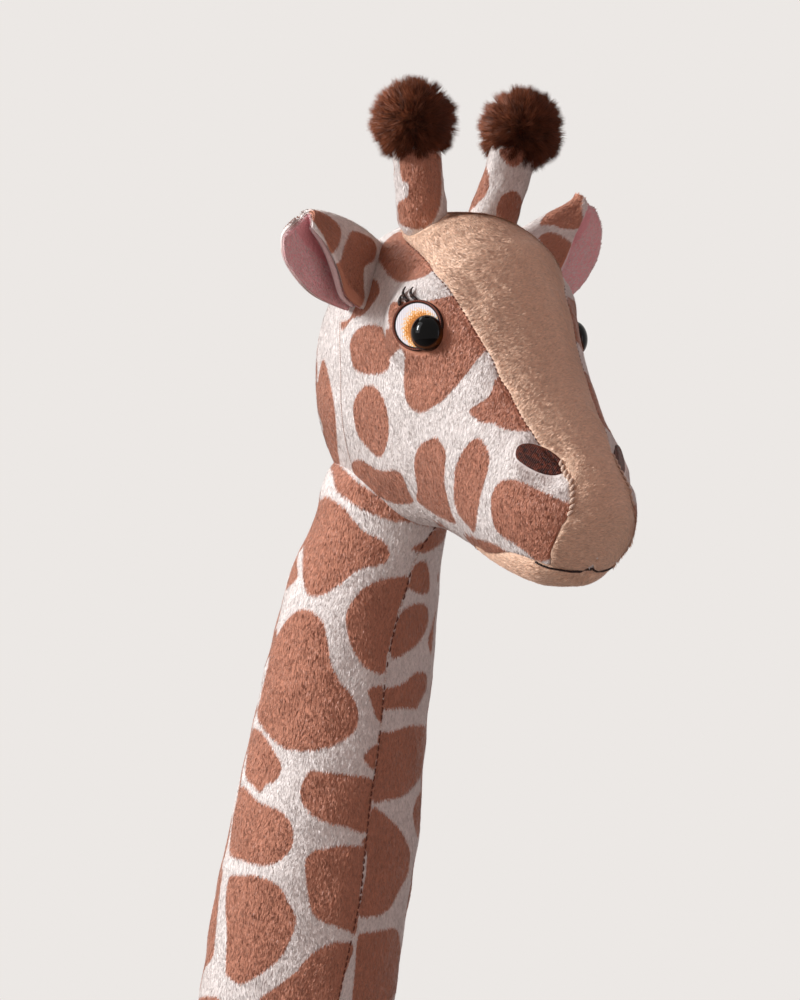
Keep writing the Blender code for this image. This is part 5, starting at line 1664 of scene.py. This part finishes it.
def thread_material(name, shade, light_tone_and_highlight, stitch=0.0011, speckled=1.4):
    """Twisted polyester thread laid in satin stitches, which run across the attribute named stitch. Its
    lighter colour goes on the stitch ridges and speckles as painted highlight, partly the thread's own uneven
    tone, and its darker colour goes in the grooves as painted shade.
    """
    made, tree = new_material(name)
    place = node(tree, "ShaderNodeTexCoord").outputs["Object"]
    speckle = node(tree, "ShaderNodeTexNoise", {"Vector": place, "Scale": 800.0, "Detail": 2.0})
    across = node(tree, "ShaderNodeAttribute", attribute_name="stitch").outputs["Fac"]
    turned = node(tree, "ShaderNodeMath", {0: across, 1: 2 * math.pi / stitch}, operation="MULTIPLY")
    ridge = node(tree, "ShaderNodeMath", {0: turned.outputs[0]}, operation="SINE")
    height = node(
        tree,
        "ShaderNodeMath",
        {0: speckle.outputs["Fac"], 1: speckled, 2: ridge.outputs[0]},
        operation="MULTIPLY_ADD",
    )
    share = node(
        tree,
        "ShaderNodeMapRange",
        {0: height.outputs[0], 1: -1 + speckled / 2, 2: 1 + speckled * 0.6},
    )
    # Painted highlight on the ridge tops and speckles, painted shade in the grooves between stitches.
    colour = node(
        tree,
        "ShaderNodeMix",
        {0: share.outputs[0], 6: linear(shade), 7: linear(light_tone_and_highlight)},
        data_type="RGBA",
    )
    bump = node(tree, "ShaderNodeBump", {"Height": height.outputs[0], "Distance": 0.0002, "Strength": 0.7})
    coated(tree, colour.outputs[2], 0.55, 1.55, 0.18, bump)
    return made


def eye_patch_material():
    """White thread with a speckled amber crescent, a black line and a brown satin ring round it."""
    made, tree = new_material("embroidered_eye_thread")
    place = node(tree, "ShaderNodeTexCoord").outputs["Object"]
    speckle = node(tree, "ShaderNodeTexNoise", {"Vector": place, "Scale": 1300.0, "Detail": 2.0})
    iris = node(tree, "ShaderNodeAttribute", attribute_name="iris").outputs["Fac"]
    blurred = node(
        tree,
        "ShaderNodeMath",
        {0: speckle.outputs["Fac"], 1: 0.75, 2: iris},
        operation="MULTIPLY_ADD",
    )
    amber = node(tree, "ShaderNodeValToRGB", {"Fac": blurred.outputs[0]})
    fill_ramp(amber, IRIS_RAMP)
    ring = node(tree, "ShaderNodeAttribute", attribute_name="ring").outputs["Fac"]
    band = node(tree, "ShaderNodeValToRGB", {"Fac": ring})
    fill_ramp(band, RING_RAMP)
    outside = node(tree, "ShaderNodeMapRange", {0: ring, 1: 0.835, 2: 0.850})
    colour = node(
        tree,
        "ShaderNodeMix",
        {0: outside.outputs[0], 6: amber.outputs[0], 7: band.outputs[0]},
        data_type="RGBA",
    )
    around = node(tree, "ShaderNodeAttribute", attribute_name="stitch").outputs["Fac"]
    turned = node(tree, "ShaderNodeMath", {0: around, 1: 2 * math.pi / 0.0010}, operation="MULTIPLY")
    ridge = node(tree, "ShaderNodeMath", {0: turned.outputs[0]}, operation="SINE")
    height = node(
        tree,
        "ShaderNodeMath",
        {0: speckle.outputs["Fac"], 1: 0.8, 2: ridge.outputs[0]},
        operation="MULTIPLY_ADD",
    )
    bump = node(tree, "ShaderNodeBump", {"Height": height.outputs[0], "Distance": 0.0002, "Strength": 0.4})
    coated(tree, colour.outputs[2], 0.55, 1.55, 0.2, bump)
    return made


def fill_ramp(ramp, rows):
    """A colour ramp's stops from rows of place and colour."""
    stops = ramp.color_ramp.elements
    while len(stops) < len(rows):
        stops.new(0.5)
    for stop, (place, shade) in zip(stops, rows):
        stop.position = place
        stop.color = linear(shade)


def eye_dome_material():
    """Clear-faced acrylic safety eye: a black pupil in a dark amber rim."""
    made, tree = new_material("acrylic_safety_eye")
    ring = node(tree, "ShaderNodeAttribute", attribute_name="ring").outputs["Fac"]
    rim = node(tree, "ShaderNodeValToRGB", {"Fac": ring})
    fill_ramp(rim, DOME_RAMP)
    place = node(tree, "ShaderNodeTexCoord").outputs["Object"]
    wear = node(tree, "ShaderNodeTexNoise", {"Vector": place, "Scale": 300.0, "Detail": 2.0})
    roughness = node(tree, "ShaderNodeMapRange", {0: wear.outputs["Fac"], 3: 0.045, 4: 0.075})
    coated(tree, rim.outputs[0], roughness.outputs[0], 1.49, 0.13)
    return made


# The iris ramp's rows are shares of the iris radius, and the ramp ends a quarter beyond it.
IRIS_SPAN = 1.25
IRIS_SHARES = [
    (0.000, "7a4517"),
    (0.860, "c4782a"),
    (0.960, "e6a050"),
    (1.060, "f0c084"),
    (1.130, "e8d6c2"),
    (1.200, "dddbe0"),
]
IRIS_RAMP = [(place / IRIS_SPAN, shade) for place, shade in IRIS_SHARES]
RING_RAMP = [
    (0.845, "150b08"),
    (0.890, "150b08"),
    (0.905, "6b3423"),
    (0.945, "6b3423"),
    (0.962, "1e0f0b"),
    (1.000, "351c15"),
]
DOME_RAMP = [
    (0.00, "050404"),
    (0.80, "060505"),
    (0.86, "1d0e07"),
    (0.92, "5c3312"),
    (0.97, "4a2a12"),
    (1.00, "1c0f08"),
]


def steel_material():
    """Painted steel rod."""
    made, tree = new_material("painted_steel_rod")
    place = node(tree, "ShaderNodeTexCoord").outputs["Object"]
    grain = node(tree, "ShaderNodeTexNoise", {"Vector": place, "Scale": 240.0, "Detail": 4.0})
    tone = node(
        tree,
        "ShaderNodeMix",
        {0: grain.outputs["Fac"], 6: linear("55585a"), 7: linear("74787a")},
        data_type="RGBA",
    )
    bump = node(tree, "ShaderNodeBump", {"Height": grain.outputs["Fac"], "Distance": 0.0001, "Strength": 0.4})
    coated(tree, tone.outputs[2], 0.42, 2.5, 0.5, bump, Metallic=0.6)
    return made


def nylon_material():
    """Moulded white nylon washer."""
    made, tree = new_material("moulded_white_nylon")
    place = node(tree, "ShaderNodeTexCoord").outputs["Object"]
    grain = node(tree, "ShaderNodeTexNoise", {"Vector": place, "Scale": 400.0, "Detail": 3.0})
    tone = node(
        tree,
        "ShaderNodeMix",
        {0: grain.outputs["Fac"], 6: linear("e2dfd8"), 7: linear("efece6")},
        data_type="RGBA",
    )
    bump = node(tree, "ShaderNodeBump", {"Height": grain.outputs["Fac"], "Distance": 0.0001, "Strength": 0.3})
    coated(tree, tone.outputs[2], 0.5, 1.53, 0.5, bump)
    return made


# Each thread's lighter colour is its painted highlight on ridges and speckles.
BROWN_THREAD = thread_material("dark_brown_satin_thread", "1c0604", "7a3a27", 0.0009, 9.0)
BLACK_THREAD = thread_material("near_black_thread", "120b0a", "3a221b")
# The dark brown seam thread is real thread on the neck's brown spots. Along the face panel's seam, its
# darkness also stands for painted shadow.
SEAM_THREAD_AND_SHADOW = thread_material("brown_seam_thread_and_shadow", "4a281d", "7c4a39")
# The pale thread is real thread between the neck's spots. Down the back of each cheek, it stands for the
# seam's painted shadow.
PALE_THREAD_AND_SEAM_SHADOW = thread_material("pale_seam_thread_and_shadow", "cdb9b0", "e8dad3")
TAN_THREAD = thread_material("tan_seam_thread", "c4a58f", "ead3c2")
EYE_THREAD = eye_patch_material()
EYE_ACRYLIC = eye_dome_material()


def joined(forms):
    """Several forms as one."""
    total = 0
    points, faces = [], []
    for form in forms:
        points.append(form[0])
        faces.append(form[1] + total)
        total += len(form[0])
    return np.concatenate(points), np.concatenate(faces)


def tree_of(*forms):
    points, faces = joined(forms)
    return BVHTree.FromPolygons(points.tolist(), faces.tolist())


HEAD_TREE = tree_of(HEAD_FORM, FACE_FORM, CHIN_FORM)
NECK_TREE = tree_of(NECK_FORM)


def seen_on(tree, pixels):
    """Where the camera sees pixels on a surface, and the surface's normals there."""
    places, normals = [], []
    for pixel in pixels:
        place, normal = tree.ray_cast(Vector(CAMERA_PLACE), Vector(sight_line(pixel)))[:2]
        if place is not None:
            places.append(place)
            normals.append(normal)
    return np.array(places), np.array(normals)


def evenly(path, others, step):
    """A path's points, and others that go with them, at even steps."""
    lengths = np.concatenate(([0], np.cumsum(np.linalg.norm(np.diff(path, axis=0), axis=1))))
    places = np.linspace(0, lengths[-1], max(int(round(lengths[-1] / step)), 1) + 1)
    both = np.concatenate((path, others), 1)
    found = np.stack([np.interp(places, lengths, both[:, k]) for k in range(6)], -1)
    return found[:, :3], unit(found[:, 3:])


def stitches(path, up, length, gap, radius, lift):
    """Separate stitches along a path: each one's form and its middle."""
    fine_path, fine_up = evenly(path, up, 0.2 * MM)
    each, pause = int(length / (0.2 * MM)), int(gap / (0.2 * MM))
    found = []
    for start in range(0, len(fine_path) - each, each + pause):
        part = slice(start, start + each + 1)
        bow = np.sin(np.linspace(0, math.pi, each + 1))
        line = fine_path[part] + fine_up[part] * (lift * (bow[:, None] * 1.2 - 0.2))
        form = tube(line, fine_up[part], radius * (0.45 + 0.55 * np.sqrt(bow)), sides=6)
        found.append((form, fine_path[start + each // 2]))
    return found


def mirrored(form):
    return outward((form[0] * np.array((-1.0, 1.0, 1.0)), form[1]))


def on_both_sides(name, form, skin, slot, node_name=None, **values):
    """A piece on the head's right side, as the photo shows it, and its mirror image on the left."""
    for hand, own in (("right", form), ("left", mirrored(form))):
        made = piece(f"{name}_{hand}", own, skin, **values)
        if node_name:
            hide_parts(f"{node_name}_{hand}")
        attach(made, "head")


def eye_frame():
    """The right eye's plane: its middle, forward, upward and outward directions."""
    middle, out = on_side(EYE_AT, -1), eye_normal(-1)
    forward = across_surface(np.array((0.0, -1.0, 0.0)), out)
    return middle, forward, across_surface(UP, out), out


def on_eye(pixel):
    """A pixel's place on the right eye's plane, forward and up from the plane's middle."""
    middle, forward, upward, out = eye_frame()
    way = sight_line(pixel)
    place = CAMERA_PLACE + way * ((middle - CAMERA_PLACE) @ out / (way @ out)) - middle
    return np.array((place @ forward, place @ upward))


def eye_disc(centre, half_forward, half_up, heights, columns=200):
    """A round form on the eye's plane from rows of share and height, and each point's place on the plane."""
    middle, forward, upward, out = eye_frame()
    rows = np.array(heights)
    turns = np.arange(columns) * 2 * math.pi / columns
    across = centre[0] + rows[:, 0, None] * half_forward * np.cos(turns)
    up = centre[1] + rows[:, 0, None] * half_up * np.sin(turns)
    rings = middle + across[..., None] * forward + up[..., None] * upward + rows[:, 1, None, None] * out
    centres = middle + centre[0] * forward + centre[1] * upward
    form = closed_form(rings, centres + out * rows[0, 1], centres + out * rows[-1, 1])
    place = np.stack((across.ravel(), up.ravel()), -1)
    return form, np.concatenate((place, [centre, centre])), turns


EYE_RING_AT, EYE_IRIS_AT, EYE_DOME_AT = (418.0, 325.5), (421.5, 329.4), (427.8, 333.2)
RING_HALF_WIDTH, RING_HALF_HEIGHT = 13.9 * MM, 12.8 * MM
IRIS_RADIUS = 10.6 * MM
DOME_HALF_WIDTH, DOME_HALF_HEIGHT, DOME_RISE, DOME_STAND = 8.2 * MM, 8.9 * MM, 6.4 * MM, 1.7 * MM
PUPIL_SHIFT = np.array((0.9, 0.8)) * MM
LASHES = [
    [(401.0, 305.5), (400.6, 300.5), (403.6, 296.0)],
    [(409.5, 302.0), (403.2, 296.5), (404.2, 292.0), (407.6, 287.8)],
    [(418.0, 300.0), (411.0, 296.0), (411.4, 291.5), (415.0, 287.8)],
]
LASH_RADIUS = 0.95 * MM


PATCH_STAND, RING_BOW = 1.15 * MM, 0.55 * MM


def make_eye_patches():
    centre = on_eye(EYE_RING_AT)
    rows = [(share, PATCH_STAND) for share in np.linspace(0.02, 0.83, 40)]
    for share in np.linspace(0.84, 1.0, 22):
        bow = math.sin(math.pi * np.clip((share - 0.875) / 0.125, 0, 1))
        fall = -2.0 * MM * max(share - 0.97, 0) / 0.03
        rows.append((share, PATCH_STAND + RING_BOW * bow + fall))
    rows.append((0.98, -1.8 * MM))
    form, place, _ = eye_disc(centre, RING_HALF_WIDTH, RING_HALF_HEIGHT, rows, 300)
    offset = (place - centre) / (RING_HALF_WIDTH, RING_HALF_HEIGHT)
    ring = np.linalg.norm(offset, axis=1)
    iris = np.linalg.norm(place - on_eye(EYE_IRIS_AT), axis=1) / IRIS_RADIUS / IRIS_SPAN - 0.205
    around = np.arctan2(offset[:, 1], offset[:, 0]) * RING_HALF_HEIGHT
    stitch = np.where(ring > 0.84, around, place[:, 0])
    on_both_sides(
        "eye_patch_thread", form, EYE_THREAD, "cream_thread", "eye_patch",
        ring=ring, iris=iris, stitch=stitch,
    )


def make_eye_domes():
    centre = on_eye(EYE_DOME_AT)
    rows = [(math.sin(a), DOME_STAND + DOME_RISE * math.cos(a)) for a in np.linspace(0.03, math.pi / 2, 40)]
    rows += [(1.0, 0.4 * MM), (0.98, -1.5 * MM)]
    form, place, _ = eye_disc(centre, DOME_HALF_WIDTH, DOME_HALF_HEIGHT, rows, 120)
    offset = place - centre - PUPIL_SHIFT
    ring = np.linalg.norm(offset / (DOME_HALF_WIDTH, DOME_HALF_HEIGHT), axis=1)
    on_both_sides("safety_eye_dome", form, EYE_ACRYLIC, "black_plastic", "eye", ring=np.minimum(ring, 1))


def make_lashes():
    middle, forward, upward, out = eye_frame()
    forms = []
    for corners in LASHES:
        flat = np.array([on_eye(corner) for corner in corners])
        line = middle + flat[:, :1] * forward + flat[:, 1:] * upward + out * 1.3 * MM
        bent = []
        for t in np.linspace(0, 1, 14):
            places = line
            while len(places) > 1:
                places = places[:-1] * (1 - t) + places[1:] * t
            bent.append(places[0])
        up = np.broadcast_to(out, (14, 3))
        radii = LASH_RADIUS * (1 - np.linspace(0, 0.80, 14) ** 2.2)
        forms.append(tube(np.array(bent), up, radii, 0.6))
    form = joined(forms)
    on_both_sides("eyelashes", form, BLACK_THREAD, "brown_thread", stitch=form[0][:, 2] * 0.5)


NOSTRIL_RISE = 0.9 * MM


def make_nostrils():
    out = unit(on_side(NOSTRIL_NORMAL, -1))
    middle = on_side(NOSTRIL_AT, -1)
    border = []
    for pixel in rounded_outline(NOSTRIL_OUTLINE):
        way = sight_line(pixel)
        border.append(CAMERA_PLACE + way * ((middle - CAMERA_PLACE) @ out / (way @ out)))
    border = np.array(border)
    centre = border.mean(0)
    rows = [(share, 1.0) for share in np.linspace(0.05, 0.78, 14)]
    rows += [(0.78 + 0.22 * math.sin(a), math.cos(a)) for a in np.linspace(0.15, math.pi / 2, 8)]
    rings = []
    for share, height in rows:
        ring = []
        for point in centre + (border - centre) * share:
            hit = HEAD_TREE.ray_cast(Vector(point + out * 0.02), Vector(-out))[0]
            ring.append(np.array(hit) + out * NOSTRIL_RISE * (height * 1.25 - 0.25))
        rings.append(ring)
    rings = np.array(rings)
    last = centre - out * 4 * MM
    form = closed_form(rings, rings[0].mean(0), last)
    along = unit(border[7] - border[40])
    on_both_sides(
        "nostril_thread", form, BROWN_THREAD, "brown_thread", "nostril",
        stitch=(form[0] - centre) @ along,
    )


MOUTH_LINE = [
    (535.7, 561.8), (542, 565.2), (548.9, 567.5), (560.4, 569.8),
    (570.7, 571.5), (579.9, 571.5), (584.5, 569.3),
]
MOUTH_RADIUS = 0.55 * MM


def make_mouth():
    path, up = seen_on(HEAD_TREE, MOUTH_LINE)
    path = path[path[:, 0] < -0.2 * MM]
    up = up[: len(path)]
    end = path[-1] * (0, 1, 1)
    path = np.concatenate((path, [end]))
    up = np.concatenate((up, [unit(up[-1] * (0, 1, 1))]))
    path, up = evenly(path, up, 0.8 * MM)
    both = np.concatenate((path, path[-2::-1] * (-1, 1, 1)))
    up = np.concatenate((up, up[-2::-1] * (-1, 1, 1)))
    thick = 1 + 0.35 * np.exp(-((both[:, 0] / (7 * MM)) ** 2))
    form = tube(both + up * 0.25 * MM, up, MOUTH_RADIUS * thick)
    mouth = piece("mouth_thread", form, BLACK_THREAD, stitch=form[0][:, 0])
    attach(mouth, "head")


def panel_edge(left, first, last, count, beyond):
    """Points just beyond the face panel's edge along the head, and the head's normals there."""
    shares = np.linspace(first, last, count)
    turn = edge_turns(FACE_EDGE_SHARES, shares, left) + beyond / (HEAD_WIDTH / 2)
    turn = turn if left else -turn
    path = head_points(shares, turn)
    places, normals = [], []
    for point in path:
        place, normal = HEAD_TREE.find_nearest(Vector(point))[:2]
        places.append(place)
        normals.append(normal)
    normals = np.array(normals)
    out = unit(path - (HEAD_AT + DOWN_NOSE * (shares[:, None] * HEAD_LENGTH)))
    normals = normals * np.sign((normals * out).sum(1))[:, None]
    return np.array(places), normals


WHIP_FROM, WHIP_TO, WHIP_PITCH = 0.862, 0.956, 3.2 * MM


def make_whip_stitches():
    """Slanting stitches that close the panel's seam beside the nostrils."""
    forms = []
    for left in (False, True):
        path, up = panel_edge(left, WHIP_FROM, WHIP_TO, 60, -0.8 * MM)
        path, up = evenly(path, up, WHIP_PITCH)
        along = unit(np.gradient(path, axis=0))
        aside = np.cross(up, along)
        for place, way, over, out in zip(path, along, aside, up):
            part = np.linspace(-1, 1, 9)[:, None]
            slant = over * (1 if left else -1) * 1.2 + way * 1.5
            line = place + slant * part * MM + out * (0.9 - 1.0 * part**2) * MM
            radius = 0.85 * MM * np.sqrt(1.15 - part[:, 0] ** 2)
            forms.append(tube(line, np.broadcast_to(out, (9, 3)), radius, 0.8))
    form = joined(forms)
    made = piece("whip_stitches", form, TAN_THREAD, stitch=form[0][:, 2] + form[0][:, 0])
    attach(made, "head")


def make_panel_stitches():
    """Small stitches in the seam all along the face panel, in dark brown thread whose darkness also stands
    for the painted shadow in the seam.
    """
    forms = []
    for left in (False, True):
        path, up = panel_edge(left, 0.20, 0.860, 260, 0.35 * MM)
        forms += [form for form, _ in stitches(path, up, 1.5 * MM, 1.3 * MM, 0.28 * MM, 0.35 * MM)]
    form = joined(forms)
    made = piece("face_seam_stitches_and_shadow", form, SEAM_THREAD_AND_SHADOW, stitch=form[0][:, 2])
    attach(made, "head")


def make_neck_stitches():
    """The neck's front seam: dark stitches on the brown spots, pale ones between."""
    path, up = seen_on(NECK_TREE, rounded_path(NECK_SEAM))
    dark, pale = [], []
    outlines = [rounded_outline(outline) for outline in NECK_SPOTS]
    for form, place in stitches(path, up, 3.1 * MM, 1.1 * MM, 0.40 * MM, 0.55 * MM):
        pixel = in_photo(place[None])
        brown = max(depth_inside(pixel, outline)[0] for outline in outlines) > -1
        (dark if brown else pale).append(form)
    for name, forms, skin in (("dark", dark, SEAM_THREAD_AND_SHADOW), ("pale", pale, PALE_THREAD_AND_SEAM_SHADOW)):
        form = joined(forms)
        made = piece(f"neck_seam_{name}_stitches", form, skin, stitch=form[0][:, 2])
        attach(made, "neck")


def rounded_path(corners, step=6.0):
    """Pixels along an open line of corners."""
    corners = np.array(corners, float)
    lengths = np.concatenate(([0], np.cumsum(np.linalg.norm(np.diff(corners, axis=0), axis=1))))
    places = np.arange(0, lengths[-1], step)
    return np.stack([np.interp(places, lengths, corners[:, k]) for k in (0, 1)], -1)


BACK_SEAM = [(340, 322), (340, 345), (341, 370), (341, 400), (343, 425), (347, 447), (352, 466)]


def make_back_seam():
    """The seam down the back of each cheek, drawn as a thin pale grey-brown thread that stands for the seam's
    painted shadow.
    """
    path, up = seen_on(HEAD_TREE, rounded_path(BACK_SEAM))
    path, up = evenly(path, up, 1.0 * MM)
    form = tube(path + up * 0.15 * MM, up, np.full(len(path), 0.32 * MM), sides=6)
    on_both_sides("cheek_seam_painted_shadow", form, PALE_THREAD_AND_SEAM_SHADOW, "cream_thread", stitch=form[0][:, 2])


def finish_fittings():
    """The frame and the washers keep their shapes and get their own surfaces."""
    bpy.data.objects["support_frame"].material_slots[0].material = steel_material()
    nylon = nylon_material()
    for hand in ("left", "right"):
        bpy.data.objects[f"eye_washer_{hand}"].material_slots[0].material = nylon


make_eye_patches()
make_eye_domes()
make_lashes()
make_nostrils()
make_mouth()
make_whip_stitches()
make_panel_stitches()
make_neck_stitches()
make_back_seam()
finish_fittings()


def make_camera():
    lens = bpy.data.cameras.new("camera")
    lens.lens = CAMERA_LENS
    lens.sensor_width = SENSOR
    lens.clip_start, lens.clip_end = 0.05, 20.0
    camera = bpy.data.objects.new("camera", lens)
    camera.location = CAMERA_PLACE
    camera.rotation_euler = (math.pi / 2, 0.0, -CAMERA_TURN)
    bpy.context.scene.collection.objects.link(camera)
    bpy.context.scene.camera = camera


def soft_lamp(name, way, distance, width, height, level, shade):
    """A tall soft box that gives the level at which a colour renders as it is written, times level."""
    light = bpy.data.lights.new(name, "AREA")
    light.shape = "RECTANGLE"
    light.size, light.size_y = width, height
    light.energy = level * (math.pi * distance) ** 2
    light.color = linear(shade)[:3]
    lamp = bpy.data.objects.new(name, light)
    lamp.location = CAMERA_TARGET + unit(way) * distance
    lamp.rotation_euler = Vector(unit(way)).to_track_quat("Z", "Y").to_euler()
    bpy.context.scene.collection.objects.link(lamp)


def make_light():
    key_way = -0.87 * RIGHT + 0.26 * BACK + 0.48 * UP
    soft_lamp("key_light", key_way, 2.5, 1.2, 2.0, 0.45, "fbfdff")
    soft_lamp("catch_light", -0.91 * RIGHT + 0.24 * BACK + 0.44 * UP, 2.4, 0.30, 0.70, 1.00, "fbfdff")
    soft_lamp("rim_light", -0.62 * RIGHT - 0.42 * BACK + 0.78 * UP, 2.2, 1.0, 1.0, 0.30, "fffdfa")
    soft_lamp("side_light", 0.92 * RIGHT + 0.34 * BACK + 0.10 * UP, 2.2, 0.30, 0.90, 0.04, "e6ecff")
    world = bpy.data.worlds.new("studio")
    bpy.context.scene.world = world
    world.use_nodes = True
    tree = world.node_tree
    tree.nodes.clear()
    paths = node(tree, "ShaderNodeLightPath")
    seen = node(
        tree,
        "ShaderNodeMath",
        {0: paths.outputs["Is Camera Ray"], 1: paths.outputs["Is Glossy Ray"]},
        operation="MAXIMUM",
    )
    seen = node(
        tree,
        "ShaderNodeMath",
        {0: seen.outputs[0], 1: paths.outputs["Is Transmission Ray"]},
        operation="MAXIMUM",
    )
    around = node(tree, "ShaderNodeBackground", {"Color": linear("ffd8d0"), "Strength": 0.34})
    backdrop = node(tree, "ShaderNodeBackground", {"Color": linear("ece8e5"), "Strength": 1.0})
    both = node(
        tree,
        "ShaderNodeMixShader",
        {0: seen.outputs[0], 1: around.outputs[0], 2: backdrop.outputs[0]},
    )
    node(tree, "ShaderNodeOutputWorld", {"Surface": both.outputs[0]})


def make_floor():
    made, tree = new_material("matt_painted_floor")
    shader = node(tree, "ShaderNodeBsdfPrincipled", {"Base Color": linear("a5a19f"), "Roughness": 0.9})
    finish_material(tree, shader)
    bottom, top, radius = -0.001, -0.0002, 2.4
    rows = [(bottom, 0.0), (bottom, radius), (top, radius), (top, 0.0)]
    floor = piece("studio_floor", turned_form(rows, np.zeros(3), UP, 96), made)
    floor.data.shade_flat()


make_camera()
make_light()
make_floor()
bpy.context.scene.view_settings.view_transform = "Standard"
